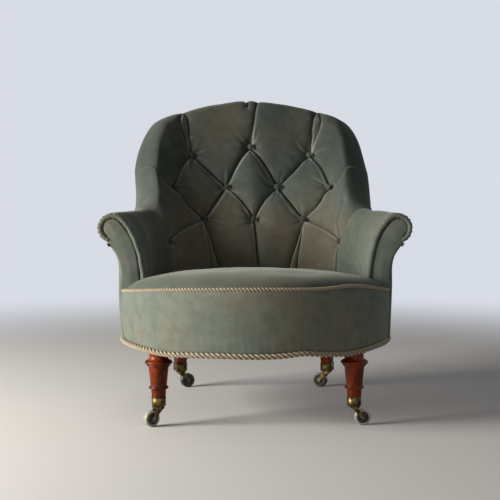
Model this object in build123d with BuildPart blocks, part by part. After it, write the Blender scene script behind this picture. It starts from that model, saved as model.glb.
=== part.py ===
from build123d import *
import os
from math import acos, atan, cos, degrees, dist, hypot, pi, radians, sin, sqrt

# A button-back tub chair on a round seat frame, in millimetres.
# +X is the sitter's left as seen from in front, -Y is the front, +Z is up, and z = 0 is the floor.
# The round base turns about a hub, and the back and arms wrap round the same hub.
os.makedirs("parts", exist_ok=True)

# ---- Driving sizes: round base ----
HUB_Y = -34.5                # centre of the round seat, behind which the back curves
SEAT_RADIUS = 333            # outside of the covered seat
COVER_THICKNESS = 12         # wadding and cloth on the outside of the frame
RAIL_THICKNESS = 38          # seat rails, measured along a radius
RAIL_BOTTOM = 190
RAIL_HEIGHT = 85
FRONT_RAIL_ANGLE = 57        # half the arc that the front rail covers, in degrees from the front
BACK_RAIL_ANGLE = 50         # half the arc that the back rail covers, in degrees from the back
BLOCK_THICKNESS = 26         # glued blocks behind the rail joints
BLOCK_ANGLE = 8
BLOCK_INSET = 12             # the blocks are this much lower than the rails at top and bottom
FIT = 0.3                    # room left between a soft piece and what it lies on
COVER_PLAY = 1.6             # room between the round rails and the faceted outer cover

# ---- Driving sizes: seat ----
WEB_WIDTH = 50
WEB_THICKNESS = 2
WEB_COUNT = 5
WEB_LAP = 12                 # the bands are tacked this far over the rails
CANVAS_THICKNESS = 1.5
CLOTH_FACETS = 24
LEG_ROOM = 57                # square cut out of webbing and cloth round each leg
SEAT_TILT = 6.5              # the seat's edge falls towards the back by this many degrees
SEAT_EDGE_Z = 326            # top of the apron at the front
SEAT_CROWN = 73              # rise of the middle of the seat over its edge
SHOULDER_RISE = 38           # rise of the seat just inside its edge
SHOULDER_WIDTH = 42
SHOULDER_CURVE = ((0.1, 0.42), (0.4, 0.79))   # shares of its width and rise, from the edge in
EDGE_LAND = 2                # the seat's side stands upright this far over its edge
EDGE_OVERHANG = 4            # the seat's edge lies this far beyond the rails
SEAT_FACETS = 10             # straight runs in each quarter of the seat's plan
SEAT_TUCK = 16               # how far the seat stays inside the foot of the back and arms
PIPING_RADIUS = 4.2
ROPE_RADIUS = 5
ROPE_FACETS = 48
APRON_DRAW_IN = 5            # the apron is this much narrower at its bottom edge

# ---- Driving sizes: back and arms ----
# Places along the wrap: below nought they are millimetres in front of the hub, and from
# nought to ninety they are degrees round the hub, from the side to the middle of the back.
ARM_FRONT = -84
ARM_EDGE_STEPS = (3, 9)      # rounded front edge of the arm, measured back from its front
ARM_STATIONS = (-30, 0, 8, 16, 23)   # sections of the arm behind its front edge
ARM_POST = -59               # middle of the arm's front post
ARM_POST_THICKNESS = 30
UPRIGHT = 58                 # middle of the back's side upright
UPRIGHT_THICKNESS = 32
POST_PLAY = 1                # room round a flat post between the curved soft pieces
BACK_START = 30              # where the back's frame and outside cover take over from the arm's
ARM_REACH = 380              # half the width over the arm rolls
WAIST_REACH = 348            # outside of the roll where arm and back meet
SHOULDER_REACH = 424         # outside of the roll at the back's upper corner
CROWN_REACH = 404.5          # outside of the roll at the middle of the back
ARM_TOP = 488
CORNER_TOP = 712
CROWN_TOP = 770
ROLL_RADIUS = 36
ARM_PADDING = 24             # stuffing of the arms at their foot
INSIDE_DEPTH = 183           # inside depth at the seat, from the hub
INSIDE_SQUARENESS = 2.6
BACKING_SETBACK = 8.6        # back face of the stuffing at its foot, out from the rails' inside
TOP_RAIL_WIDTH = 30
TOP_RAIL_HEIGHT = 26
ROLL_FACETS = 7              # flats round the roll's section
ROLL_START = 150             # the roll starts at this angle
ROLL_END = -68               # the roll ends at this angle from straight outwards
ROLL_FLARE = 45              # arms and back flare out to the roll from this far below its end
ARM_FLARE = 0.1              # share of that flare that the arm's outside has at its knee
BACK_FLARE = 0.9
ARM_HOLLOW = 0.6             # how much the back face of the arm's stuffing is hollowed
LIP_REACH = 1                # the roll's edge is tacked this far beyond the rail's middle
EDGE_ROUNDING = 4            # the arm roll is this much smaller at its very front
COLUMNS = (90, 75.5, 60.5, 48, 34)   # columns of the button pattern, from the middle outwards
COLUMN_STEPS = 3                     # sections in the width of a tuft
ROW_TOP, ROW_SHOULDER, ROW_MIDDLE, ROW_LOW, ROW_ARM = 644, 623, 538, 456, 402
PLEAT_FLAT = 4               # half the flat at a button, across the pleats
PUFF = 0.12                  # rise of a tuft over its own height
PLEAT_SHARE = 0.35           # how much of that rise is left where an upright pleat crosses
FOOT_SHARE = 0.6             # and in the tufts that stand on the seat
PLEAT_LIFT = 7               # a pleat is this much shallower halfway between two buttons
ARM_BELLY = 12               # swell of the plain inside of the arm
BUTTON_RADIUS = 9
BUTTON_HEIGHT = 4
BUTTON_FACETS = 12
BUTTON_SEAT = 3.5            # height of a button over the bottom of its tuft
BUTTON_HOLLOW = 24           # depth of the tuft's hollow round its button
FACING_THICKNESS = 5
FACING_BORDER = 13           # gathered border left round the facing
FACING_BELLY = 376           # height at which the panel's inner edge is fullest
GIMP_WIDTH = 9
GIMP_THICKNESS = 2.5
GIMP_DROP = 1.5              # the braid lies this far below the roll
GIMP_LIFT = 1.2              # and this far off the outer cover

# ---- Driving sizes: legs and castors ----
FRONT_LEG_X = 227
FRONT_LEG_SETBACK = 13.4     # middle of a front leg, in from the outside of the rail
REAR_LEG_X = 190
REAR_LEG_SETBACK = 23.4
REAR_LEG_SPLAY = 9           # the foot of a rear leg stands this far outwards of its top
REAR_LEG_RAKE = 47.5         # and this far behind it
REAR_LEG_TOP = 38
REAR_LEG_FOOT = 27
REAR_LEG_TURN = 25           # the rear legs stand square to the curved rail
DOWEL_RADIUS = 10
DOWEL_LENGTH = 35
DOWEL_FIT = 0.05
CUP_TOP = 68
CUP_FLOOR = 53
CUP_BOTTOM = 45.2
CUP_WALL = 1.6
LEG_END_RADIUS = 15
WHEEL_RADIUS = 19
WHEEL_WIDTH = 15
WHEEL_TRAIL = 20
BORE_FIT = 0.06
AXLE_RADIUS = 2.4
PINTLE_RADIUS = 3.5
HORN_PLATE_BOTTOM = 40.4
HORN_ARM = 3
HORN_PLAY = 0.6
HORN_PLATE_LENGTH = 20
HORN_ROOT = (-6, 9)          # the arms' roots under the plate, along the trail from the pintle
HORN_EYE = 5                 # metal round the axle
# Direction in which each castor trails, in degrees from +X.
CASTOR_TRAIL = {"front_left": 215, "front_right": 5, "rear_left": 20, "rear_right": 150}

# ---- Driving sizes: turning of the front legs ----
ANKLE_RADIUS = 17
BEAD_LOW, BEAD_HIGH = 87, 93
BEAD_RADIUS = 22.8
SHAFT_FOOT_RADIUS = 19
SHAFT_RADIUS = 23.8
RING_LOW, RING_HIGH = 144, 152
RING_RADIUS = 32
CAPITAL_TOP = 166
NECK_RADIUS = 21.5
NECK_TOP = 172.5
STUB_RADIUS = 13

# ---- Sizes that follow ----
RAIL_OUTER = SEAT_RADIUS - COVER_THICKNESS - COVER_PLAY
RAIL_INNER = RAIL_OUTER - RAIL_THICKNESS
RAIL_TOP = RAIL_BOTTOM + RAIL_HEIGHT
BACKING_REACH = RAIL_INNER + BACKING_SETBACK
INSIDE_HALF_WIDTH = BACKING_REACH - ARM_PADDING
FRONT_LEG_RING = RAIL_OUTER - FRONT_LEG_SETBACK
REAR_LEG_RING = RAIL_OUTER - REAR_LEG_SETBACK
STUFFING_BOTTOM = RAIL_TOP + CANVAS_THICKNESS + FIT
COVER_BOTTOM = RAIL_BOTTOM - 5
EDGE_PLANE = Plane((0, HUB_Y - SEAT_RADIUS, SEAT_EDGE_Z)).rotated((-SEAT_TILT, 0, 0))
SIDES = {"left": -1, "right": 1}


# ---- Helpers for the wrap of back and arms ----
def along(keys, place):
    """Smooth value at a place, through a few (place, value) pairs."""
    last = len(keys) - 1
    step = max(i for i in range(last) if place >= keys[i][0] or i == 0)
    (start, low), (end, high) = keys[step], keys[step + 1]
    before, after = keys[max(step - 1, 0)], keys[min(step + 2, last)]
    span = end - start
    slope_in = (high - before[1]) / (end - before[0])
    slope_out = (after[1] - low) / (after[0] - start)
    t = (place - start) / span
    return (low * (1 + 2 * t) * (1 - t) ** 2 + high * t * t * (3 - 2 * t)
            + span * (slope_in * t * (1 - t) ** 2 - slope_out * t * t * (1 - t)))


def wrap_plane(place):
    """Upright plane of one section: its x runs outwards and its y runs up."""
    if place < 0:
        return Plane((0, HUB_Y + place, 0), x_dir=(1, 0, 0), z_dir=(0, -1, 0))
    turn = radians(place)
    return Plane((0, HUB_Y, 0), x_dir=(cos(turn), sin(turn), 0), z_dir=(sin(turn), -cos(turn), 0))


def round_reach(radius, place):
    """Distance out to a circle round the hub, in the plane of one section."""
    return sqrt(radius ** 2 - place ** 2) if place < 0 else radius


def roll_radius(place):
    """Radius of the roll, a little less at the arm's rounded front edge."""
    lost = max(0, 1 - (place - ARM_FRONT) / ARM_EDGE_STEPS[1])
    return ROLL_RADIUS - EDGE_ROUNDING * lost ** 2


def roll_centre(place):
    """Centre of the roll along the top of arms and back."""
    reach = along(((-90, ARM_REACH), (-45, ARM_REACH - 6), (0, ARM_REACH - 20), (22, WAIST_REACH),
                   (30, WAIST_REACH + 5), (40, SHOULDER_REACH - 32), (53, SHOULDER_REACH),
                   (66, SHOULDER_REACH), (90, CROWN_REACH), (102, CROWN_REACH + 6)), place)
    height = along(((-90, ARM_TOP), (0, ARM_TOP), (20, ARM_TOP + 1), (28, ARM_TOP + 20),
                    (39, CORNER_TOP - 102), (51.5, CORNER_TOP), (66, CROWN_TOP - 26),
                    (90, CROWN_TOP), (102, CROWN_TOP - 8)), place)
    return reach - ROLL_RADIUS, height - ROLL_RADIUS


def inside_reach(place, tuck=0):
    """Foot of the inside of arms and back, at the seat, or that much inside it."""
    if place < 0:
        return INSIDE_HALF_WIDTH - tuck
    turn = radians(place)
    share = (cos(turn) / (INSIDE_HALF_WIDTH - tuck)) ** INSIDE_SQUARENESS
    share += (sin(turn) / (INSIDE_DEPTH - tuck)) ** INSIDE_SQUARENESS
    return share ** (-1 / INSIDE_SQUARENESS)


def on_roll(place, angle):
    """Point on the roll, at an angle from straight outwards."""
    reach, height = roll_centre(place)
    size = roll_radius(place)
    return reach + size * cos(radians(angle)), height + size * sin(radians(angle))


def inside_point(place, height, lift=0):
    """Point on the straight inside of the stuffing, lifted towards the sitter."""
    foot, top = (inside_reach(place), STUFFING_BOTTOM), on_roll(place, ROLL_START)
    share = (height - foot[1]) / (top[1] - foot[1])
    run, rise = top[0] - foot[0], top[1] - foot[1]
    length = hypot(run, rise)
    return foot[0] + run * share - lift * rise / length, height + lift * run / length


def knee_height(place):
    """Height at which arms and back begin to flare out to the roll."""
    return on_roll(place, ROLL_END)[1] - ROLL_FLARE


def backing_line(place):
    """Back face of the stuffing in one section: its foot, its knee and its top under the rail."""
    reach, centre = roll_centre(place)
    top = centre - TOP_RAIL_HEIGHT / 2
    share = (knee_height(place) - STUFFING_BOTTOM) / (top - STUFFING_BOTTOM)
    share *= 1 - along(((-90, ARM_HOLLOW), (0, ARM_HOLLOW), (BACK_START, 0), (90, 0)), place)
    run = reach - TOP_RAIL_WIDTH / 2 - BACKING_REACH
    return ((BACKING_REACH, STUFFING_BOTTOM), (BACKING_REACH + run * share, knee_height(place)),
            (BACKING_REACH + run, top))


def cover_line(place):
    """Outside of the outer cover in one section, from its foot to under the roll."""
    foot = round_reach(SEAT_RADIUS, place)
    top_reach, top_height = on_roll(place, ROLL_END)
    flare = along(((-90, ARM_FLARE), (0, 1.5 * ARM_FLARE), (BACK_START, BACK_FLARE),
                   (90, BACK_FLARE)), place)
    knee = foot + max(0, top_reach - foot) * flare
    return (foot, COVER_BOTTOM), (knee, knee_height(place)), (top_reach, top_height - FIT)


def reach_at(line, height):
    """Reach of a line of three points at a height."""
    for low, high in zip(line[:-1], line[1:]):
        if height <= high[1]:
            break
    return low[0] + (high[0] - low[0]) * (height - low[1]) / (high[1] - low[1])


def wrap_stations(start, end):
    """Places of the sections between two places, always the same for every piece."""
    arm = [ARM_FRONT] + [ARM_FRONT + step for step in ARM_EDGE_STEPS] + list(ARM_STATIONS)
    back = [BACK_START] + list(COLUMNS)
    for near, far in zip(COLUMNS[:-1], COLUMNS[1:]):
        back += [near + (far - near) * step / COLUMN_STEPS for step in range(1, COLUMN_STEPS)]
    back = sorted(set(back))
    return [place for place in arm + back if start <= place <= end]


def both_sides(rows):
    """Rows of the right-hand half, from the front to the middle, and on round the left-hand half."""
    return rows + [[(-x, y, z) for x, y, z in row] for row in reversed(rows[:-1])]


def wrap_rows(places, profile):
    """Points in space of an outline that is given in the plane of each section."""
    return [[tuple(wrap_plane(place).from_local_coords(Vector(*point))) for point in profile(place)]
            for place in places]


def flat_faced(rows):
    """Solid through closed rows of points, covered by three-sided flats between neighbouring rows."""
    flats = [rows[0], rows[-1]]
    for near, far in zip(rows[:-1], rows[1:]):
        for step in range(len(near)):
            a, b, c, d = near[step - 1], near[step], far[step], far[step - 1]
            flats += [(a, b, c), (a, c, d)] if dist(a, c) < dist(b, d) else [(a, b, d), (b, c, d)]
    return Solid(Shell([Face(Wire.make_polygon(flat, close=True)) for flat in flats]))


def finish(piece, name):
    """Label a finished piece and write its file."""
    piece.part.label = name
    export_step(piece.part, f"parts/{name}.step")


def handed(build, name):
    """Write the right-hand piece and its mirror image on the left."""
    for side in SIDES:
        with BuildPart() as piece:
            build()
            if side == "left":
                mirror(about=Plane.YZ, mode=Mode.REPLACE)
        finish(piece, f"{name}_{side}")


# ---- The round seat frame ----
def ring_sector(inner, outer, bottom, top, middle, half_angle):
    """Block of a ring round the hub, middle in degrees from +X."""
    with BuildSketch(Plane((0, HUB_Y, bottom)).rotated((0, 0, middle - half_angle))) as outline:
        with BuildLine():
            turn = radians(2 * half_angle)
            half = radians(half_angle)
            ThreePointArc((outer, 0), (outer * cos(half), outer * sin(half)),
                          (outer * cos(turn), outer * sin(turn)))
            ThreePointArc((inner, 0), (inner * cos(half), inner * sin(half)),
                          (inner * cos(turn), inner * sin(turn)))
            Line((inner, 0), (outer, 0))
            Line((inner * cos(turn), inner * sin(turn)), (outer * cos(turn), outer * sin(turn)))
        make_face()
    extrude(outline.sketch, amount=top - bottom)


def leg_tops():
    """Places of the four leg tops on the ring."""
    tops = {}
    for side, sign in SIDES.items():
        front = HUB_Y - sqrt(FRONT_LEG_RING ** 2 - FRONT_LEG_X ** 2)
        rear = HUB_Y + sqrt(REAR_LEG_RING ** 2 - REAR_LEG_X ** 2)
        tops[f"front_{side}"] = (sign * FRONT_LEG_X, front)
        tops[f"rear_{side}"] = (sign * REAR_LEG_X, rear)
    return tops


def seat_rail(name, middle, half_angle):
    """One bandsawn rail of the round frame, bored for the legs that it carries."""
    with BuildPart() as rail:
        ring_sector(RAIL_INNER, RAIL_OUTER, RAIL_BOTTOM, RAIL_TOP, middle, half_angle)
        with Locations(*[(x, y, RAIL_BOTTOM) for x, y in leg_tops().values()]):
            Cylinder(DOWEL_RADIUS + DOWEL_FIT, DOWEL_LENGTH + 1,
                     align=(Align.CENTER, Align.CENTER, Align.MIN), mode=Mode.SUBTRACT)
    finish(rail, name)


side_middle = (90 - BACK_RAIL_ANGLE + FRONT_RAIL_ANGLE - 90) / 2
side_half = (180 - BACK_RAIL_ANGLE - FRONT_RAIL_ANGLE) / 2
seat_rail("seat_rail_front", -90, FRONT_RAIL_ANGLE)
seat_rail("seat_rail_back", 90, BACK_RAIL_ANGLE)
seat_rail("seat_rail_right", side_middle, side_half)
seat_rail("seat_rail_left", 180 - side_middle, side_half)

with BuildPart() as corner_blocks:
    for joint in (FRONT_RAIL_ANGLE - 90, 90 - BACK_RAIL_ANGLE):
        for middle in (joint, 180 - joint):
            ring_sector(RAIL_INNER - BLOCK_THICKNESS, RAIL_INNER, RAIL_BOTTOM + BLOCK_INSET,
                        RAIL_TOP - BLOCK_INSET, middle, BLOCK_ANGLE)
finish(corner_blocks, "corner_blocks")

# Woven bands under the seat, tacked to the undersides of the rails.
with BuildPart() as seat_webbing:
    with BuildSketch(Plane((0, HUB_Y, RAIL_BOTTOM - WEB_THICKNESS))):
        pitch = 2 * RAIL_INNER / (WEB_COUNT + 1)
        with GridLocations(pitch, 0, WEB_COUNT, 1):
            Rectangle(WEB_WIDTH, 2 * RAIL_OUTER)
        with GridLocations(0, pitch, 1, WEB_COUNT):
            Rectangle(2 * RAIL_OUTER, WEB_WIDTH)
        RegularPolygon(RAIL_INNER + WEB_LAP, CLOTH_FACETS, mode=Mode.INTERSECT)
    with BuildSketch(Plane((0, 0, RAIL_BOTTOM - WEB_THICKNESS))) as leg_room:
        with Locations(*leg_tops().values()):
            Rectangle(LEG_ROOM, LEG_ROOM)
    extrude(amount=WEB_THICKNESS)
    extrude(leg_room.sketch, amount=WEB_THICKNESS, mode=Mode.SUBTRACT)
finish(seat_webbing, "seat_webbing")

with BuildPart() as spring_canvas:
    with BuildSketch(Plane((0, HUB_Y, RAIL_TOP))):
        RegularPolygon(BACKING_REACH, CLOTH_FACETS)
    extrude(amount=CANVAS_THICKNESS)
finish(spring_canvas, "spring_canvas")

# Dust cloth, stretched under the webbing and cut round the four legs.
with BuildPart() as bottom_cloth:
    with BuildSketch(Plane((0, 0, RAIL_BOTTOM - WEB_THICKNESS - FIT))):
        with Locations((0, HUB_Y)):
            RegularPolygon(RAIL_OUTER - FIT, CLOTH_FACETS)
        with Locations(*leg_tops().values()):
            Rectangle(LEG_ROOM, LEG_ROOM, mode=Mode.SUBTRACT)
    extrude(amount=-CANVAS_THICKNESS)
finish(bottom_cloth, "bottom_cloth")


# ---- Seat, apron and trims ----
def seat_plan():
    """Right-hand half of the seat's plan from the hub, from the middle of the front to the back."""
    front = FIT - ARM_FRONT
    wing = round_reach(RAIL_OUTER, -front)
    sweep = degrees(acos(front / RAIL_OUTER))
    bow = [(RAIL_OUTER * sin(radians(sweep * step / SEAT_FACETS)),
            -RAIL_OUTER * cos(radians(sweep * step / SEAT_FACETS))) for step in range(SEAT_FACETS)]
    turns = [90 * step / SEAT_FACETS for step in range(SEAT_FACETS + 1)]
    foot = [(inside_reach(turn, SEAT_TUCK) * cos(radians(turn)),
             inside_reach(turn, SEAT_TUCK) * sin(radians(turn))) for turn in turns]
    return bow + [(wing, -front), (foot[0][0], -front)] + foot


def seat_crown():
    """Reach and rise over the edge, from the apron's top to the middle of the dome."""
    edge = RAIL_OUTER + EDGE_OVERHANG
    shoulder = edge - SHOULDER_WIDTH
    yield edge, -SEAT_EDGE_Z / 3
    yield edge, EDGE_LAND
    for inwards, up in SHOULDER_CURVE:
        yield edge - inwards * SHOULDER_WIDTH, up * SHOULDER_RISE
    for step in (1, 0.75, 0.45, 0.15):
        yield shoulder * step, SEAT_CROWN - (SEAT_CROWN - SHOULDER_RISE) * step ** 2


with BuildPart() as seat_cushion:
    middle_z = SEAT_EDGE_Z - SEAT_RADIUS * sin(radians(SEAT_TILT))
    tilted = Plane((0, HUB_Y, middle_z)).rotated((-SEAT_TILT, 0, 0))
    crown = list(seat_crown())
    for (reach, low), (next_reach, high) in zip(crown[:-1], crown[1:]):
        with BuildSketch(tilted.offset(low)):
            RegularPolygon(reach, 4 * SEAT_FACETS)
        drawn_in = (reach - next_reach) * cos(pi / (4 * SEAT_FACETS))
        extrude(amount=high - low, taper=degrees(atan(drawn_in / (high - low))))
    with BuildSketch(Plane((0, HUB_Y, STUFFING_BOTTOM))):
        with BuildLine():
            Polyline(*seat_plan())
            mirror(about=Plane.YZ)
        make_face()
    extrude(amount=SEAT_EDGE_Z, mode=Mode.INTERSECT)
finish(seat_cushion, "seat_cushion")

apron_half_angle = degrees(acos((FIT - ARM_FRONT) / (RAIL_OUTER + FIT)))
with BuildPart() as seat_apron:
    inner, outer = RAIL_OUTER + FIT, SEAT_RADIUS
    with BuildSketch(Plane((0, HUB_Y, 0), x_dir=(0, -1, 0), z_dir=(-1, 0, 0))):
        with BuildLine():
            Polyline((outer, SEAT_EDGE_Z + 4), (inner, SEAT_EDGE_Z + 4), (inner, COVER_BOTTOM),
                     (outer - APRON_DRAW_IN, COVER_BOTTOM), close=True)
        make_face()
    revolve(axis=Axis((0, HUB_Y, 0), (0, 0, 1)), revolution_arc=apron_half_angle)
    mirror(about=Plane.YZ)
    split(bisect_by=EDGE_PLANE, keep=Keep.BOTTOM)
finish(seat_apron, "seat_apron")


def cord_sector(plane, reach, radius, half_angle):
    """Right half of a cord that runs round the hub in a given plane, as a plain square bar."""
    with BuildSketch(Plane(plane.origin, x_dir=-plane.y_dir, z_dir=-plane.x_dir)) as section:
        with Locations((reach, 0)):
            Rectangle(2 * radius, 2 * radius)
    revolve(section.sketch, axis=Axis(plane.origin, plane.z_dir), revolution_arc=half_angle)


with BuildPart() as seat_piping:
    piping_rise = PIPING_RADIUS + FIT
    middle_z = SEAT_EDGE_Z - SEAT_RADIUS * sin(radians(SEAT_TILT)) + piping_rise
    cord_plane = Plane((0, HUB_Y, middle_z)).rotated((-SEAT_TILT, 0, 0))
    cord_sector(cord_plane, SEAT_RADIUS - 3, PIPING_RADIUS, apron_half_angle)
    mirror(about=Plane.YZ)
finish(seat_piping, "seat_piping")

with BuildPart() as rope_trim:
    with BuildSketch(Plane((0, HUB_Y, COVER_BOTTOM - FIT))):
        RegularPolygon(SEAT_RADIUS - APRON_DRAW_IN + ROPE_RADIUS, ROPE_FACETS)
        RegularPolygon(SEAT_RADIUS - APRON_DRAW_IN - ROPE_RADIUS, ROPE_FACETS, mode=Mode.SUBTRACT)
    extrude(amount=-2 * ROPE_RADIUS)
finish(rope_trim, "rope_trim")


# ---- Frame of arms and back ----
def rail_profile(place):
    """Top rail in one section."""
    reach, height = roll_centre(place)
    half_width, half_height = TOP_RAIL_WIDTH / 2 - FIT, TOP_RAIL_HEIGHT / 2 - FIT
    return ((reach - half_width, height - half_height), (reach + half_width, height - half_height),
            (reach + half_width, height + half_height), (reach - half_width, height + half_height))


def post_profile(places):
    """Upright board's outline, clear of the stuffing and the outer cover in all of the places."""
    top = min(roll_centre(place)[1] for place in places) - TOP_RAIL_HEIGHT / 2
    knees = [round(knee_height(place)) for place in places]
    inner, outer = [], []
    for height in sorted({RAIL_TOP, min(knees), max(knees), top}):
        backing = max(reach_at(backing_line(place), height) for place in places)
        cover = min(reach_at(cover_line(place), height) for place in places) - COVER_THICKNESS
        lip = min(roll_centre(place)[0] for place in places) + LIP_REACH
        inner.append((backing + POST_PLAY, height))
        outer.append(((lip if height == top else cover) - POST_PLAY, height))
    outer[0] = (min(outer[0][0], min(round_reach(RAIL_OUTER, place) for place in places)), RAIL_TOP)
    return outer + inner[::-1]


def post(place, thickness, spread):
    """Flat board that stands on the seat rail and carries the top rail."""
    with BuildSketch(wrap_plane(place)) as outline:
        with BuildLine():
            Polyline(*post_profile((place - spread, place, place + spread)), close=True)
        make_face()
    extrude(outline.sketch, amount=thickness / 2, both=True)


upright_spread = degrees(UPRIGHT_THICKNESS / 2 / RAIL_INNER)
handed(lambda: post(ARM_POST, ARM_POST_THICKNESS, ARM_POST_THICKNESS / 2), "arm_post")
handed(lambda: post(UPRIGHT, UPRIGHT_THICKNESS, upright_spread), "back_upright")
arm_rail_places = wrap_stations(ARM_FRONT + ARM_EDGE_STEPS[1], BACK_START)
handed(lambda: add(flat_faced(wrap_rows(arm_rail_places, rail_profile))), "arm_rail")

with BuildPart() as crest_rail:
    add(flat_faced(both_sides(wrap_rows(wrap_stations(BACK_START, 90), rail_profile))))
finish(crest_rail, "crest_rail")


# ---- The buttoned stuffing of back and arms ----
def straight(keys, place):
    """Value at a place on straight runs between (place, value) pairs, level past the first."""
    for (start, low), (end, high) in zip(keys[:-1], keys[1:]):
        if place <= end:
            share = max(0, (place - start) / (end - start))
            return low + (high - low) * share, 4 * share * (1 - share)
    return keys[-1][1], 0


MIDDLE, COLUMN_1, COLUMN_2, COLUMN_3, COLUMN_ARM = COLUMNS
LOW_PLEAT = ((COLUMN_ARM, ROW_ARM), (COLUMN_2, ROW_LOW), (COLUMN_1, ROW_MIDDLE - PLEAT_FLAT),
             (MIDDLE, ROW_LOW))
CROSS_PLEAT = ((COLUMN_ARM, ROW_ARM + 20), (COLUMN_3, ROW_MIDDLE - PLEAT_FLAT),
               (COLUMN_2, ROW_LOW + 2 * PLEAT_FLAT), (COLUMN_1, ROW_MIDDLE),
               (MIDDLE, ROW_LOW + 2 * PLEAT_FLAT))
HIGH_PLEAT = ((COLUMN_ARM, ROW_ARM + 38), (COLUMN_3, ROW_MIDDLE + PLEAT_FLAT),
              (COLUMN_2, ROW_SHOULDER), (COLUMN_1, ROW_MIDDLE + PLEAT_FLAT), (MIDDLE, ROW_TOP))
UPRIGHT_PLEATS = ((COLUMN_ARM, 0), (COLUMN_3, 1), (COLUMN_2, 0), (COLUMN_1, 1), (MIDDLE, 0))


def inside_outline(place):
    """Corners of the inside of one section, and how far each tuft between them swells."""
    top = on_roll(place, ROLL_START)
    plain = min(1, max(0, 1 - place / COLUMN_ARM))
    plain = plain * plain * (3 - 2 * plain)
    fullness = sin(radians(90) * straight(UPRIGHT_PLEATS, place)[0]) ** 2
    heights = [STUFFING_BOTTOM]
    corners = [inside_point(place, STUFFING_BOTTOM)]
    for pleat in (LOW_PLEAT, CROSS_PLEAT, HIGH_PLEAT):
        height, halfway = straight(pleat, place)
        share = (height - STUFFING_BOTTOM) / (top[1] - STUFFING_BOTTOM)
        lift = PLEAT_LIFT * halfway * (1 - plain) + ARM_BELLY * 4 * share * (1 - share) * plain
        heights.append(height)
        corners.append(inside_point(place, height, lift))
    heights.append(top[1])
    corners.append(top)
    swells = []
    for step, (low, high) in enumerate(zip(heights[:-1], heights[1:])):
        full = (FOOT_SHARE, 1, 1, 1)[step]
        if step in (0, 3):
            full *= PLEAT_SHARE + (1 - PLEAT_SHARE) * fullness
        share = (high - low) / (top[1] - STUFFING_BOTTOM)
        swells.append(PUFF * (high - low) * full * (1 - plain) + ARM_BELLY * share ** 2 * plain)
    return corners, swells


def swell(start, end, rise):
    """Points that swell to the left of a straight run, without its end."""
    run, climb = end[0] - start[0], end[1] - start[1]
    length = hypot(run, climb)
    return [(start[0] + run * share - rise * bulge * climb / length,
             start[1] + climb * share + rise * bulge * run / length)
            for share, bulge in ((0, 0), (0.3, 0.9), (0.7, 0.9))]


def stuffing_profile(place):
    """Outline of the stuffing in one section: tufts, roll, and the hollow that the rail fills."""
    corners, swells = inside_outline(place)
    reach, height = roll_centre(place)
    half_width, half_height = TOP_RAIL_WIDTH / 2, TOP_RAIL_HEIGHT / 2
    inside = []
    for start, end, rise in zip(corners[:-1], corners[1:], swells):
        inside += swell(start, end, rise)
    turn = ROLL_START - ROLL_END
    roll = [on_roll(place, ROLL_START - turn * step / ROLL_FACETS) for step in range(ROLL_FACETS + 1)]
    hollow = [(reach + LIP_REACH + FIT, roll[-1][1]), (reach + LIP_REACH + FIT, height - half_height),
              (reach + half_width, height - half_height), (reach + half_width, height + half_height),
              (reach - half_width, height + half_height)]
    return inside + roll + hollow + list(backing_line(place)[::-1])


def button_planes():
    """Planes in which the right-hand and middle buttons lie, facing the sitter."""
    sites = [(MIDDLE, ROW_TOP), (MIDDLE, ROW_LOW), (COLUMN_1, ROW_MIDDLE), (COLUMN_2, ROW_SHOULDER),
             (COLUMN_2, ROW_LOW), (COLUMN_3, ROW_MIDDLE), (COLUMN_ARM, ROW_ARM)]
    for place, height in sites:
        section = wrap_plane(place)
        low, high = inside_point(place, height - 10), inside_point(place, height + 10)
        facing = section.from_local_coords(Vector(low[1] - high[1], high[0] - low[0]))
        spot = section.from_local_coords(Vector(*inside_point(place, height)))
        yield Plane(spot, x_dir=section.z_dir, z_dir=facing - section.origin)


def buttons(radius, seat, height):
    """All the buttons, or the hollows that they sit in."""
    for plane in button_planes():
        with BuildSketch(plane.offset(seat)) as outline:
            RegularPolygon(radius, BUTTON_FACETS)
        extrude(outline.sketch, amount=height)
    mirror(about=Plane.YZ)


def facing_outline(margin=0):
    """Outline of the arm's front panel, grown by a margin."""
    place = ARM_FRONT
    reach, height = roll_centre(place)
    scroll = ROLL_RADIUS - FACING_BORDER + margin
    foot, knee, top = cover_line(place)
    inset = COVER_THICKNESS + 2 * FIT - margin
    start = inside_point(place, STUFFING_BOTTOM, margin - FACING_BORDER)
    swell = inside_point(place, FACING_BELLY, margin + ARM_BELLY * 0.9 - FACING_BORDER)
    end = (reach + scroll * cos(radians(ROLL_START)), height + scroll * sin(radians(ROLL_START)))
    with BuildSketch(Plane((0, HUB_Y + place + ARM_EDGE_STEPS[1] - FIT, 0),
                           x_dir=(1, 0, 0), z_dir=(0, -1, 0))) as outline:
        with BuildLine():
            ThreePointArc((start[0], STUFFING_BOTTOM), swell, end)
            Polyline(end, (reach, height), (reach + LIP_REACH - FIT + margin, top[1]),
                     (knee[0] - inset, knee[1]), (foot[0] - inset, STUFFING_BOTTOM),
                     (start[0], STUFFING_BOTTOM))
        make_face()
        with Locations((reach, height)):
            Circle(scroll)
    return outline.sketch


with BuildPart() as tufted_stuffing:
    add(flat_faced(both_sides(wrap_rows(wrap_stations(ARM_FRONT, 90), stuffing_profile))))
    recess = extrude(facing_outline(FIT), amount=2 * ARM_EDGE_STEPS[1], mode=Mode.SUBTRACT)
    mirror(recess, about=Plane.YZ, mode=Mode.SUBTRACT)
    with BuildPart(mode=Mode.SUBTRACT):
        buttons(BUTTON_RADIUS + FIT, BUTTON_SEAT - FIT, BUTTON_HOLLOW)
finish(tufted_stuffing, "tufted_stuffing")

with BuildPart() as tuft_buttons:
    buttons(BUTTON_RADIUS, BUTTON_SEAT, BUTTON_HEIGHT)
finish(tuft_buttons, "tuft_buttons")

handed(lambda: extrude(facing_outline(), amount=FACING_THICKNESS), "arm_facing")


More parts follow.
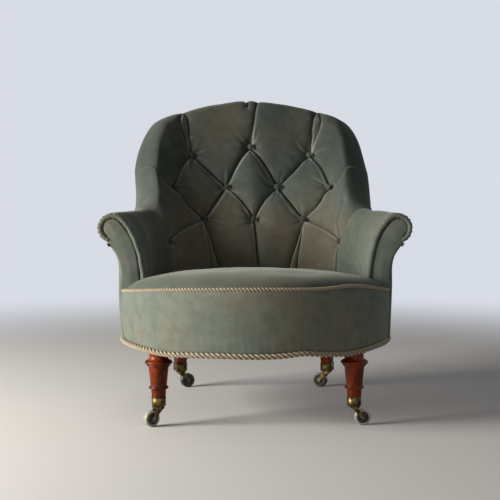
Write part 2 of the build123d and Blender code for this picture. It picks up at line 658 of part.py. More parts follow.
# ---- Outer covers and their gimp ----
def cover_profile(place):
    """Outer cover in one section."""
    foot, knee, top = cover_line(place)
    return (foot, knee, top, (roll_centre(place)[0] + LIP_REACH + FIT, top[1]),
            (knee[0] - COVER_THICKNESS, knee[1]), (foot[0] - COVER_THICKNESS, foot[1]))


def gimp_profile(place):
    """Flat braid over the tacked top edge of the outer cover."""
    knee, top = cover_line(place)[1:]
    run, climb = top[0] - knee[0], top[1] - knee[1]
    length = hypot(run, climb)
    points = ((-GIMP_DROP, GIMP_LIFT), (-GIMP_DROP, GIMP_LIFT + GIMP_THICKNESS),
              (-GIMP_DROP - GIMP_WIDTH, GIMP_LIFT + GIMP_THICKNESS),
              (-GIMP_DROP - GIMP_WIDTH, GIMP_LIFT))
    return [(top[0] + (run * ahead + climb * out) / length,
             top[1] + (climb * ahead - run * out) / length) for ahead, out in points]


arm_places, back_places = wrap_stations(ARM_FRONT, BACK_START), wrap_stations(BACK_START, 90)
handed(lambda: add(flat_faced(wrap_rows(arm_places, cover_profile))), "outside_arm")

with BuildPart() as outside_back:
    add(flat_faced(both_sides(wrap_rows(back_places, cover_profile))))
finish(outside_back, "outside_back")

with BuildPart() as gimp:
    add(flat_faced(both_sides(wrap_rows(wrap_stations(ARM_FRONT, 90), gimp_profile))))
finish(gimp, "gimp")


# ---- Legs ----
def front_leg():
    """Turned leg with a capital, a tapered shaft, a bead and a dowel at its top."""
    x, y = leg_tops()["front_right"]
    with BuildSketch(Plane((x, y, 0), x_dir=(1, 0, 0), z_dir=(0, -1, 0))) as outline:
        with BuildLine():
            Polyline((0, CUP_FLOOR + FIT), (LEG_END_RADIUS, CUP_FLOOR + FIT),
                     (LEG_END_RADIUS, CUP_TOP + FIT), (ANKLE_RADIUS, CUP_TOP + FIT),
                     (ANKLE_RADIUS, BEAD_LOW), (BEAD_RADIUS, BEAD_LOW), (BEAD_RADIUS, BEAD_HIGH),
                     (SHAFT_FOOT_RADIUS, BEAD_HIGH), (SHAFT_RADIUS, RING_LOW),
                     (RING_RADIUS, RING_LOW), (RING_RADIUS, RING_HIGH), (NECK_RADIUS, CAPITAL_TOP),
                     (NECK_RADIUS, NECK_TOP), (STUB_RADIUS, NECK_TOP), (STUB_RADIUS, RAIL_BOTTOM),
                     (DOWEL_RADIUS, RAIL_BOTTOM), (DOWEL_RADIUS, RAIL_BOTTOM + DOWEL_LENGTH),
                     (0, RAIL_BOTTOM + DOWEL_LENGTH), close=True)
        make_face()
    revolve(outline.sketch, axis=Axis((x, y, 0), (0, 0, 1)))


def rear_leg_plane(height):
    """Level plane at one height of the raked rear leg, turned to the curve of the rail."""
    drop = (RAIL_BOTTOM - height) / (RAIL_BOTTOM - CUP_TOP)
    share = min(1, drop) ** 1.5
    x, y = leg_tops()["rear_right"]
    spot = (x + REAR_LEG_SPLAY * share, y + REAR_LEG_RAKE * share, height)
    return Plane(spot).rotated((0, 0, -REAR_LEG_TURN)), drop


def rear_leg():
    """Square sabre leg, tapered and raked backwards, with a dowel at its top."""
    sections = []
    for step in range(4):
        plane, drop = rear_leg_plane(RAIL_BOTTOM + (CUP_TOP - RAIL_BOTTOM) * step / 3)
        size = REAR_LEG_TOP + (REAR_LEG_FOOT - REAR_LEG_TOP) * drop
        with BuildSketch(plane) as section:
            Rectangle(size, size)
        sections.append(section.sketch)
    loft(sections, ruled=True)
    with BuildSketch(rear_leg_plane(CUP_TOP)[0]) as end:
        Rectangle(REAR_LEG_FOOT, REAR_LEG_FOOT)
    extrude(end.sketch, amount=CUP_FLOOR + FIT - CUP_TOP)
    with Locations((*leg_tops()["rear_right"], RAIL_BOTTOM)):
        Cylinder(DOWEL_RADIUS, DOWEL_LENGTH, align=(Align.CENTER, Align.CENTER, Align.MIN))


for name, build in (("front_legs", front_leg), ("rear_legs", rear_leg)):
    with BuildPart() as piece:
        build()
        mirror(about=Plane.YZ)
    finish(piece, name)


# ---- Castors ----
def castor_planes():
    """Plane on the floor under each castor's pintle, with x in the direction of trail."""
    for corner, trail in CASTOR_TRAIL.items():
        end, side = corner.split("_")
        x, y = leg_tops()[f"{end}_right"]
        if end == "rear":
            x, y = x + REAR_LEG_SPLAY, y + REAR_LEG_RAKE
        yield corner, Plane((SIDES[side] * x, y, 0)).rotated((0, 0, trail))


def bore(radius, low, high):
    """Upright hole or recess at the origin of the current place."""
    with Locations((0, 0, low)):
        Cylinder(radius, high - low, align=(Align.CENTER, Align.CENTER, Align.MIN),
                 mode=Mode.SUBTRACT)


with BuildPart() as castor_cups:
    for corner, plane in castor_planes():
        end, side = corner.split("_")
        square = Plane(plane.origin).rotated((0, 0, -SIDES[side] * REAR_LEG_TURN))
        with BuildSketch(square.offset(CUP_BOTTOM)) as outline:
            if end == "front":
                Circle(LEG_END_RADIUS + CUP_WALL)
            else:
                Rectangle(REAR_LEG_FOOT + 2 * CUP_WALL, REAR_LEG_FOOT + 2 * CUP_WALL)
        extrude(outline.sketch, amount=CUP_TOP - CUP_BOTTOM)
        with BuildSketch(square.offset(CUP_FLOOR)) as pocket:
            if end == "front":
                Circle(LEG_END_RADIUS + DOWEL_FIT)
            else:
                Rectangle(REAR_LEG_FOOT + 2 * DOWEL_FIT, REAR_LEG_FOOT + 2 * DOWEL_FIT)
        extrude(pocket.sketch, amount=CUP_TOP, mode=Mode.SUBTRACT)
        with Locations(square):
            bore(PINTLE_RADIUS + BORE_FIT, 0, CUP_TOP)
finish(castor_cups, "castor_cups")


def castor_horn(plane):
    """Cast horn: a plate with the pintle, and two arms that hold the axle."""
    half = WHEEL_WIDTH / 2 + HORN_PLAY
    outer = half + HORN_ARM
    plate_top = CUP_BOTTOM - 0.5
    with BuildSketch(plane.offset(HORN_PLATE_BOTTOM)) as outline:
        with Locations((sum(HORN_ROOT) / 2, 0)):
            Rectangle(HORN_PLATE_LENGTH, 2 * outer)
    extrude(outline.sketch, amount=plate_top - HORN_PLATE_BOTTOM)
    with Locations(plane.offset(plate_top)):
        Cylinder(PINTLE_RADIUS, CUP_FLOOR - FIT - plate_top,
                 align=(Align.CENTER, Align.CENTER, Align.MIN))
    for side in (-1, 1):
        face = Plane(plane.from_local_coords(Vector(0, side * half, 0)), x_dir=plane.x_dir,
                     z_dir=-plane.y_dir)
        with BuildSketch(face) as arm:
            with BuildLine():
                Polyline((HORN_ROOT[0], HORN_PLATE_BOTTOM), (WHEEL_TRAIL - HORN_EYE, WHEEL_RADIUS),
                         (WHEEL_TRAIL - HORN_EYE / 2, WHEEL_RADIUS - HORN_EYE),
                         (WHEEL_TRAIL + HORN_EYE / 2, WHEEL_RADIUS - HORN_EYE),
                         (WHEEL_TRAIL + HORN_EYE, WHEEL_RADIUS),
                         (HORN_ROOT[1], HORN_PLATE_BOTTOM), close=True)
            make_face()
            with Locations((WHEEL_TRAIL, WHEEL_RADIUS)):
                Circle(AXLE_RADIUS + DOWEL_FIT / 2, mode=Mode.SUBTRACT)
        extrude(arm.sketch, amount=-side * HORN_ARM)


def castor_wheel(plane):
    """Plain wheel, bored for its axle."""
    start = plane.from_local_coords(Vector(WHEEL_TRAIL, -WHEEL_WIDTH / 2, WHEEL_RADIUS))
    with BuildSketch(Plane(start, x_dir=plane.x_dir, z_dir=plane.y_dir)) as outline:
        Circle(WHEEL_RADIUS)
        Circle(AXLE_RADIUS + BORE_FIT, mode=Mode.SUBTRACT)
    extrude(outline.sketch, amount=WHEEL_WIDTH)


def castor_axle(plane):
    """Plain pin through the horn's arms and the wheel."""
    half = WHEEL_WIDTH / 2 + HORN_PLAY + HORN_ARM
    start = plane.from_local_coords(Vector(WHEEL_TRAIL, -half, WHEEL_RADIUS))
    with BuildSketch(Plane(start, x_dir=plane.x_dir, z_dir=plane.y_dir)) as outline:
        Circle(AXLE_RADIUS)
    extrude(outline.sketch, amount=2 * half)


for name, build in (("castor_horn", castor_horn), ("castor_wheel", castor_wheel),
                    ("castor_axle", castor_axle)):
    for corner, plane in castor_planes():
        with BuildPart() as piece:
            build(plane)
        finish(piece, f"{name}_{corner}")
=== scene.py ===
import bpy
import numpy as np
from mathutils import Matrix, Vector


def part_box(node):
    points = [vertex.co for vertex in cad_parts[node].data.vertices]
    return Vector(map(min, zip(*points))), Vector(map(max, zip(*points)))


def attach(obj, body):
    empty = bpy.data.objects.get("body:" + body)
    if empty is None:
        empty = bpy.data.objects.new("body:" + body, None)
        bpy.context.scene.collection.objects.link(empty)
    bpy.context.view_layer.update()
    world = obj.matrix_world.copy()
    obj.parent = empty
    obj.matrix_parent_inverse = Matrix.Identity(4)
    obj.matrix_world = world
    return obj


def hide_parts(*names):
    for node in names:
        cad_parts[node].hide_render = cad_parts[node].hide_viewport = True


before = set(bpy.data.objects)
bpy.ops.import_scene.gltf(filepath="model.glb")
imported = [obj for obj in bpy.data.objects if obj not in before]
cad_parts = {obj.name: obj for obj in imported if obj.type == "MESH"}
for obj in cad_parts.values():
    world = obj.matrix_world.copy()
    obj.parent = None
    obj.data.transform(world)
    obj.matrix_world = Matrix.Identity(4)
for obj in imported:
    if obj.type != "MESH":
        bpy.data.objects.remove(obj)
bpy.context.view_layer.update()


# ---- Frame of seat, arms and back ----
# Bandsawn beech rails on corner blocks, flat posts and uprights, and shaped top rails, glued and
# dowelled. The upholstery hides them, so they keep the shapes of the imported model.
def linear(code):
    """sRGB hex to linear: ((c + 0.055) / 1.055) ** 2.4 over 0.04045, and c / 12.92 under it."""
    parts = [int(code[start:start + 2], 16) / 255 for start in (1, 3, 5)]
    return [((c + 0.055) / 1.055) ** 2.4 if c > 0.04045 else c / 12.92 for c in parts] + [1.0]


def feed(tree, node, inputs):
    """Give a node's inputs their links or values, and turn sRGB hex into a colour."""
    for key, value in dict(inputs).items():
        if isinstance(value, bpy.types.NodeSocket):
            tree.links.new(value, node.inputs[key])
        else:
            node.inputs[key].default_value = linear(value) if isinstance(value, str) else value


def add(tree, kind, inputs=(), out=None, **settings):
    """Add a node, set its properties, feed it, and give its named output or its first live one."""
    made = tree.nodes.new("ShaderNode" + kind)
    for name, value in settings.items():
        setattr(made, name, value)
    feed(tree, made, inputs)
    return made.outputs[out] if out else next(socket for socket in made.outputs if socket.enabled)


def new_finish(name, **sockets):
    """Material, its tree, its principled shader with plain values, and the piece's coordinates."""
    made = bpy.data.materials.new(name)
    made.use_nodes = True
    tree, shader = made.node_tree, made.node_tree.nodes["Principled BSDF"]
    feed(tree, shader, {key.replace("_", " "): value for key, value in sockets.items()})
    return made, tree, shader, add(tree, "TexCoord", out="Object")


def wood(name, dark, light, grain_width, stretch, rough, coat=0.0, shine=0.5):
    """Wood: bands of grain across its run, fine pores along it, under shellac or bare."""
    made, tree, shader, place = new_finish(name, Roughness=rough, IOR=1.5, Coat_Weight=coat,
                                           Coat_Roughness=0.12, Specular_IOR_Level=shine)
    stretched = add(tree, "Mapping", {"Vector": place, "Scale": stretch})
    warp = add(tree, "TexNoise", {"Vector": stretched, "Scale": 0.35 / grain_width,
                                  "Detail": 3.0, "Distortion": 0.6})
    pores = add(tree, "TexNoise", {"Vector": stretched, "Scale": 3.5 / grain_width, "Detail": 4.0})
    both = add(tree, "Mix", {"Factor": 0.35, "A": warp, "B": pores})
    level = add(tree, "MapRange", {"Value": both, "From Min": 0.38, "From Max": 0.64})
    shade = add(tree, "Mix", {0: level, 6: dark, 7: light}, data_type="RGBA")
    bump = add(tree, "Bump", {"Height": pores, "Distance": 0.0002, "Strength": 0.5})
    feed(tree, shader, {"Base Color": shade, "Normal": bump})
    return made


def refinish(node, finish):
    """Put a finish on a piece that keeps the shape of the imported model."""
    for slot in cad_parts[node].material_slots:
        slot.material = finish


# Sawn beech: pale pinkish brown with short flecks, dull because it is bare.
beech = wood("sawn_beech", "#8d6a45", "#b8946a", 0.006, (1, 1, 0.3), rough=0.7)
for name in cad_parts:
    if any(word in name for word in ("rail", "post", "upright", "corner_blocks")):
        refinish(name, beech)


# ---- Webbing, spring canvas and dust cloth ----
# Five jute webs each way, woven over and under each other and tacked under the rails; hessian
# tacked over the rails to carry the stuffing; and black cotton under it all, cut round the legs.
MM = 0.001
front_rail, back_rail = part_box("seat_rail_front"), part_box("seat_rail_back")
HUB_Y = (front_rail[0].y + back_rail[1].y) / 2 / MM
RAIL_OUTER = (back_rail[1].y - front_rail[0].y) / 2 / MM
RAIL_BOTTOM, RAIL_TOP = front_rail[0].z / MM, front_rail[1].z / MM
RAIL_INNER = RAIL_OUTER - 38           # the rails are 38 mm wide
WEB_LAP, WEB_WIDTH, WEB_COUNT = 12, 50, 5
WEB_DROP, WEB_WAVE = 1.2, 0.9          # how low the webs lie, and how far they pass each other
CANVAS_REACH, CANVAS_LIFT, LEG_ROOM = 289, 1.5, 57
CLOTH_DROP, CLOTH_SAG, CLOTH_RIPPLE = 2.4, 3, 0.6
CAPITAL_REACH, REAR_INSET = 32, 23.4   # front leg's widest radius; rear leg's place in the rail
REAR_X, REAR_SPLAY, REAR_RAKE = 190, 9, 47.5
front_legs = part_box("front_legs")
leg_x = (front_legs[1].x - front_legs[0].x) / 2 / MM - CAPITAL_REACH
leg_y = (front_legs[0].y + front_legs[1].y) / 2 / MM
rear_y = HUB_Y + np.sqrt((RAIL_OUTER - REAR_INSET) ** 2 - REAR_X ** 2)
leg_spots = np.array([(leg_x, leg_y), (-leg_x, leg_y), (REAR_X, rear_y), (-REAR_X, rear_y)])
leg_spots = leg_spots - [0, HUB_Y]


def woven(name, dark, light, pitch, rough):
    """Plain weave: |sin x - sin y| with one thread each half period, tinted unevenly by a noise."""
    made, tree, shader, place = new_finish(name, Roughness=rough)
    warp, weft = [add(tree, "TexWave", {"Vector": place, "Scale": 0.314 / pitch}, out="Fac",
                      bands_direction=way) for way in "XY"]
    cross = add(tree, "Math", {0: warp, 1: weft}, operation="SUBTRACT")
    high = add(tree, "Math", {0: cross}, operation="ABSOLUTE")
    uneven = add(tree, "TexNoise", {"Vector": place, "Scale": 90.0, "Detail": 4.0})
    level = add(tree, "Mix", {"Factor": 0.45, "A": high, "B": uneven})
    shade = add(tree, "Mix", {0: level, 6: dark, 7: light}, data_type="RGBA")
    bump = add(tree, "Bump", {"Height": high, "Distance": 0.0006})
    feed(tree, shader, {"Base Color": shade, "Normal": bump})
    return made


def whole_turn(count):
    """Angles that divide a whole turn evenly."""
    return np.linspace(0, 2 * np.pi, count, endpoint=False)


def points_at(x, y, z):
    """Points from three arrays or numbers, spread over one another."""
    return np.stack(np.broadcast_arrays(x, y, z), -1)


def placed(name, data):
    """Object at the origin, unturned, in the scene."""
    made = bpy.data.objects.new(name, data)
    bpy.context.scene.collection.objects.link(made)
    return made


def smooth_piece(name, points, faces, finish, slot, node, body="chair"):
    """Smooth skin from points in mm that rides on a body and stands for a node."""
    mesh = bpy.data.meshes.new(name)
    mesh.from_pydata((points * MM).tolist(), [], faces)
    mesh.polygons.foreach_set("use_smooth", np.ones(len(faces), bool))
    mesh.materials.append(finish)
    made = placed(name, mesh)
    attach(made, body)
    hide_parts(node)
    return made


def stretched_sheet(name, grids, finish, slot, node, thickness, closed):
    """Thin cloth from grids of points in mm, closed round or open, with its thickness below it."""
    points, faces = [], []
    for grid in grids:
        index = np.arange(grid[..., 0].size).reshape(grid.shape[:2]) + sum(map(len, points))
        there = np.roll(index, -1, 1) if closed else index[:, 1:]
        here = index if closed else index[:, :-1]
        quads = np.stack([here[:-1], here[1:], there[1:], there[:-1]], -1).reshape(-1, 4)
        points.append(grid.reshape(-1, 3))
        faces += quads.tolist() + ([index[0].tolist()] if closed else [])
    made = smooth_piece(name, np.vstack(points), faces, finish, slot, node)
    depth = made.modifiers.new("thickness", "SOLIDIFY")
    depth.thickness, depth.offset = thickness * MM, -1
    return made, sum(polygon.area for polygon in made.data.polygons)


def web_limit(across, spots):
    """Half a web's length on each line along it: the ring's circle, or the square round a leg."""
    limit = np.sqrt((RAIL_INNER + WEB_LAP) ** 2 - across ** 2)
    for spot_across, spot_along in spots:
        at_leg = (np.abs(across - spot_across) < LEG_ROOM / 2) & (spot_along > 0)
        limit = np.where(at_leg, np.minimum(limit, spot_along - LEG_ROOM / 2), limit)
    return limit


def cloth_limit(turn):
    """Reach of the dust cloth: its circle, or where a ray meets a square cut round a leg."""
    way = np.stack([np.cos(turn), np.sin(turn)], -1)
    limit = np.full(turn.shape, RAIL_OUTER - 0.5)
    for spot in leg_spots:
        with np.errstate(divide="ignore"):
            low, high = (spot - LEG_ROOM / 2) / way, (spot + LEG_ROOM / 2) / way
        enter, leave = np.minimum(low, high).max(-1), np.maximum(low, high).min(-1)
        limit = np.where((enter < leave) & (enter > 0), np.minimum(limit, enter), limit)
    return limit


# Each web waves as cos(pi run / pitch), up over one crossing and down under the next.
web_pitch = 2 * RAIL_INNER / (WEB_COUNT + 1)
share = np.linspace(0, 1, 90)[:, None]
webs = []
for number in range(WEB_COUNT):
    centre = (number - (WEB_COUNT - 1) / 2) * web_pitch
    across = centre + np.linspace(-0.5, 0.5, 14) * WEB_WIDTH
    for along in (1, 0):
        spots = leg_spots if along else leg_spots[:, ::-1]
        far, near = web_limit(across, spots), -web_limit(across, spots * [1, -1])
        run = near + (far - near) * share
        weave = np.cos(np.pi * (run / web_pitch + number + (1 - along)))
        flat_x, flat_y = (across, run) if along else (run, across)
        grid = points_at(flat_x, HUB_Y + flat_y, RAIL_BOTTOM - WEB_DROP + WEB_WAVE * weave)
        webs.append(grid[:, ::-1] if along else grid)

# Jute, woven in a twill: coarse pale brown threads with a dry, hairy look.
jute = woven("woven_jute", "#6a5233", "#a98a5c", pitch=0.003, rough=0.9)
webbing, web_area = stretched_sheet("seat_webs", webs, jute, "webbing", "seat_webbing",
                                    thickness=1.0, closed=False)

# Hessian: a coarse open plain weave of the same jute.
hessian = woven("hessian", "#7a6543", "#b89f73", pitch=0.004, rough=0.92)
turn = whole_turn(360)[None]
share = np.linspace(0.02, 1, 40)[:, None]
out = CANVAS_REACH * share
disc = points_at(out * np.cos(turn), HUB_Y + out * np.sin(turn), RAIL_TOP + CANVAS_LIFT)
canvas, canvas_area = stretched_sheet("hessian_canvas", [disc], hessian, "canvas", "spring_canvas",
                                      thickness=1.2, closed=True)

# Black cotton lining cloth: fine, flat and dusty, with little gloss.
lining_cotton = woven("black_cotton", "#15151a", "#2c2b2c", pitch=0.0016, rough=0.88)
out = cloth_limit(turn) * share
ripple = CLOTH_RIPPLE * np.sin(9 * turn) * share * (1 - share)
disc = points_at(out * np.cos(turn), HUB_Y + out * np.sin(turn),
                 RAIL_BOTTOM - CLOTH_DROP - CLOTH_SAG * (1 - share ** 2) - ripple)
dust_cover, dust_area = stretched_sheet("dust_cover", [disc], lining_cotton, "dust_cloth",
                                        "bottom_cloth", thickness=0.6, closed=True)


# ---- Inside cover of back and arms ----
# One sheet of cotton velvet drawn over stuffing, from the seat up over the rolled top. Buttons
# pull it down in three rows, loose folds run between them, and small gathers end it at the arms.
STUFFING_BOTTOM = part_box("tufted_stuffing")[0].z / MM
CROWN_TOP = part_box("tufted_stuffing")[1].z / MM
COVER_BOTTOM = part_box("outside_back")[0].z / MM
SEAT_RADIUS = HUB_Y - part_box("seat_apron")[0].y / MM
ARM_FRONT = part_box("tufted_stuffing")[0].y / MM - HUB_Y
ARM_REACH, WAIST_REACH, SHOULDER_REACH, CROWN_REACH = 380, 348, 424, 404.5
ARM_TOP, CORNER_TOP = 488, 712
ROLL_RADIUS, ROLL_START, ROLL_END = 36, 150, -68
INSIDE_HALF_WIDTH, INSIDE_DEPTH, INSIDE_SQUARENESS = 266, 183, 2.6
BACKING_REACH, BACKING_ROOM, BACK_START = 290, 24, 30
RAIL_WIDTH, RAIL_HEIGHT = 30, 26       # section of the top rails
BORDER, BORDER_TUCK = 13, 10           # rounded border round each arm's panel, and its way inwards
LEAN, LEAN_FROM, LEAN_TO = 9, 430, 640  # the old back leans to its left between these heights
ON_ROLL = 1000                         # heights over this are millimetres over the roll instead
TUFT_RISE = 24                         # height of a tuft over its folds
FOLD_FLANK, FOLD_EDGE = 26, 8          # wide and narrow part of a fold's flank
GROOVE_DEPTH, GROOVE_WIDTH = 6.0, 2.6  # the fold itself, where the cloth is tucked under
CREASE_WIDTH, ARM_FOLD = 6, 5          # width of a fold's shade; depth of the folds in the arms
LIP_RISE, LIP_WIDTH = 2.6, 3.0         # cloth doubled over along the lower side of a fold
BUTTON_PULL, BUTTON_DIP, BUTTON_GATHER = 8, 11, 15
PLEAT_RISE, PLEAT_WIDTH = 3.0, 3.4     # pleats that fan out from each button
PLEAT_START, PLEAT_CLEAR = 4, 13       # they rise between these distances from its middle
PLEAT_COUNT, PLEAT_LENGTH = 9, (20, 46)
GATHER_RISE, GATHER_COUNT = 1.5, 20    # small gathers along the arms' front borders
GATHER_SPACING, GATHER_LENGTH = (5.5, 13), (14, 30)
ARM_INSIDE, ARM_ROLL = 190, 137        # length of the border below the roll and round it
ARM_BELLY = 12                         # roundness of the plain stuffing inside the arms
HAND_WAVE, HAND_WAVE_SIZE = 1.3, 95    # slow unevenness of hand-laid stuffing
SMALL_WAVE, SMALL_WAVE_SIZE = 0.35, 30

# Buttons of the middle and of the right-hand half: degrees round the chair, and height.
MIDDLE = 90
TOP, BASE, NEAR, SHOULDER, WAIST, WING, ARM = BUTTONS = (
    (MIDDLE, 644), (MIDDLE, 456), (75.5, 538), (60.5, 623), (60.5, 456), (48, 538), (34, 402))
button_spots = [(place, side, level) for place, level in BUTTONS
                for side in ((-1, 1) if place < MIDDLE else (1,))]
# Folds of the right-hand half: depth at its ends, depth halfway, and the points it runs through.
FOLDS = (
    (0.60, 0.50, TOP, (90.8, 700), (91.6, ON_ROLL + 10), (92.4, ON_ROLL + 130)),
    (0.50, 0.30, TOP, (88.6, 690), (87.0, ON_ROLL + 5), (86.4, ON_ROLL + 30)),
    (0.60, 0.50, SHOULDER, (60.6, 680), (61.2, ON_ROLL - 5), (63, ON_ROLL + 110)),
    (0.45, 0.35, SHOULDER, (58.2, 670), (57.4, 705), (59.6, ON_ROLL + 15)),
    (0.95, 0.80, TOP, (82.6, 596), NEAR),
    (0.95, 0.85, NEAR, (67.5, 576), SHOULDER),
    (0.95, 0.80, NEAR, (83, 501), BASE),
    (0.95, 0.85, NEAR, (67.5, 493), WAIST),
    (0.90, 0.75, SHOULDER, (53, 585), WING),
    (0.95, 0.90, WING, (52.5, 492), WAIST),
    (0.90, 0.70, WAIST, (48, 434), ARM),
    (0.85, 0.75, BASE, (88.5, 400), (87, 330), (87, 285)),
    (0.85, 0.75, WAIST, (62.5, 390), (65, 330), (66, 285)),
    (0.85, 0.60, WAIST, (60, 390), (59.5, 330), (59.5, 285)),
    (0.80, 0.70, ARM, (33.5, 360), (33, 320), (33, 285)),
    (0.60, 0.25, WING, (43, 545), (38.5, ON_ROLL - 5), (37, ON_ROLL + 50)),
    (0.60, 0.50, ARM, (36, 440), (35, 470), (33, 500)),
    (0.30, 0.45, (21, 430), (22, 380), (21, 330), (21, 285)),
    (0.45, 0.35, (26, 440), (25, ON_ROLL), (24, ON_ROLL + 40), (25, ON_ROLL + 90)),
)


def smooth_keys(keys, place):
    """Cubic through (place, value) pairs, each slope taken between the neighbours of a pair."""
    x, y = np.array(keys, float).T
    i = np.clip(np.searchsorted(x, place, side="right") - 1, 0, len(x) - 2)
    before, after = np.maximum(i - 1, 0), np.minimum(i + 2, len(x) - 1)
    span = x[i + 1] - x[i]
    slope_in = (y[i + 1] - y[before]) / (x[i + 1] - x[before])
    slope_out = (y[after] - y[i]) / (x[after] - x[i])
    t = (place - x[i]) / span
    return (y[i] * (1 + 2 * t) * (1 - t) ** 2 + y[i + 1] * t * t * (3 - 2 * t)
            + span * (slope_in * t * (1 - t) ** 2 - slope_out * t * t * (1 - t)))


def step_up(value, low, high):
    """Smooth step from 0 at low to 1 at high: 3 t^2 - 2 t^3."""
    t = np.clip((value - low) / (high - low), 0, 1)
    return t * t * (3 - 2 * t)


def bell(value, width):
    """Gaussian: exp(-(v / w)^2)."""
    return np.exp(-(value / width) ** 2)


def in_space(place, side, reach, height):
    """Points from a place along the wrap, in mm ahead of the hub or degrees round it, and a reach."""
    turn = np.radians(np.maximum(place, 0))
    x = side * reach * np.cos(turn) - LEAN * step_up(height, LEAN_FROM, LEAN_TO)
    y = HUB_Y + np.minimum(place, 0) + reach * np.sin(turn)
    return points_at(x, y, height)


def roll_centre(place):
    """Centre of the rolled top: cubics through its reach and its height round the chair."""
    reach = smooth_keys(((-90, ARM_REACH), (-45, ARM_REACH - 6), (0, ARM_REACH - 20),
                         (22, WAIST_REACH), (30, WAIST_REACH + 5), (40, SHOULDER_REACH - 25),
                         (46, SHOULDER_REACH - 1), (53, SHOULDER_REACH + 10),
                         (66, SHOULDER_REACH + 3), (90, CROWN_REACH),
                         (114, SHOULDER_REACH + 3)), place)
    height = smooth_keys(((-90, ARM_TOP), (0, ARM_TOP), (20, ARM_TOP + 1), (28, ARM_TOP + 20),
                          (39, CORNER_TOP - 100), (45.5, CORNER_TOP - 36), (51.5, CORNER_TOP + 4),
                          (66, CROWN_TOP - 24), (90, CROWN_TOP), (102, CROWN_TOP - 8)), place)
    return reach - ROLL_RADIUS, height - ROLL_RADIUS


def on_roll(place, angle):
    """Point of the roll, at an angle in degrees from straight outwards."""
    reach, height = roll_centre(place)
    up = np.radians(angle)
    return reach + ROLL_RADIUS * np.cos(up), height + ROLL_RADIUS * np.sin(up)


def inside_foot(place):
    """Foot of the inside: straight beside the arms, a superellipse behind the seat."""
    turn = np.radians(np.maximum(place, 0))
    share = (np.cos(turn) / INSIDE_HALF_WIDTH) ** INSIDE_SQUARENESS
    return (share + (np.sin(turn) / INSIDE_DEPTH) ** INSIDE_SQUARENESS) ** (-1 / INSIDE_SQUARENESS)


def padding_line(place, row):
    """Reach and height of the padding: row 0 to 1 is a cubic from the foot, 1 to 2 the roll's arc."""
    place, row = np.broadcast_arrays(place, row)
    foot = np.stack([inside_foot(place), np.full(place.shape, STUFFING_BOTTOM)])
    top = np.stack(on_roll(place, ROLL_START))
    leave = top - foot
    arrive = np.array([0.5, 0.866]).reshape(2, *[1] * place.ndim) * np.hypot(*leave)
    u = np.clip(row, 0, 1)
    inside = (foot * (1 + 2 * u) * (1 - u) ** 2 + top * u * u * (3 - 2 * u)
              + leave * u * (1 - u) ** 2 - arrive * u * u * (1 - u))
    angle = ROLL_START - (ROLL_START - ROLL_END) * np.clip(row - 1, 0, 1)
    return np.where(row <= 1, inside, np.stack(on_roll(place, angle)))


def row_at(place, height):
    """Row of the padding at a height, or at millimetres over the roll."""
    top = on_roll(place, ROLL_START)[1]
    arc_length = ROLL_RADIUS * np.radians(ROLL_START - ROLL_END)
    return np.where(height < ON_ROLL - 50, (height - STUFFING_BOTTOM) / (top - STUFFING_BOTTOM),
                    1 + (height - ON_ROLL) / arc_length)


def on_padding(place, side, level):
    """Point of the padding at a height, or at millimetres over the roll."""
    return in_space(place, side, *padding_line(place, row_at(place, level)))


def square_to(slope):
    """Unit normal of a line from its slope: (-z, r) over the slope's length."""
    return np.stack([-slope[1], slope[0]]) / np.hypot(*slope)


def fold_path(points, side, samples=14):
    """Fold in space: a smooth run through its points, laid on the padding."""
    place, height = np.array(points, float).T
    knots, at = np.linspace(0, 1, len(points)), np.linspace(0, 1, samples)
    row = smooth_keys(np.stack([knots, row_at(place, height)], 1), at)
    place = smooth_keys(np.stack([knots, place], 1), at)
    return in_space(place, side, *padding_line(place, row))


def near_path(points, path):
    """Distance to a path, share along it, and how far above it each point lies."""
    best = np.full(points.shape[:-1], 1e9)
    share, above = np.zeros_like(best), np.zeros_like(best)
    for step, (start, end) in enumerate(zip(path[:-1], path[1:])):
        run = end - start
        t = np.clip((points - start) @ run / (run @ run), 0, 1)
        away = points - start - t[..., None] * run
        gap = np.linalg.norm(away, axis=-1)
        closer = gap < best
        best = np.where(closer, gap, best)
        share = np.where(closer, (step + t) / (len(path) - 1), share)
        above = np.where(closer, away[..., 2], above)
    return best, share, above


def wander(points, size, waves=14, seed=4):
    """Slow unevenness: a sum of sine waves in random directions, each a few times its size long."""
    draw = np.random.default_rng(seed)
    total = np.zeros(points.shape[:-1])
    for _ in range(waves):
        way = draw.normal(size=3)
        way *= 2 * np.pi / (size * draw.uniform(0.7, 1.6)) / np.linalg.norm(way)
        total += np.sin(points @ way + draw.uniform(0, 2 * np.pi))
    return total / np.sqrt(waves)


def enclosed(points, groups):
    """Volume inside a closed skin: a sum of a . (b x c) / 6 over each face's fan of triangles."""
    fans = [(points - points.mean(0))[faces] for faces in groups]
    return sum((fan[:, :1] * np.cross(fan[:, 1:-1], fan[:, 2:])).sum() for fan in fans) / 6


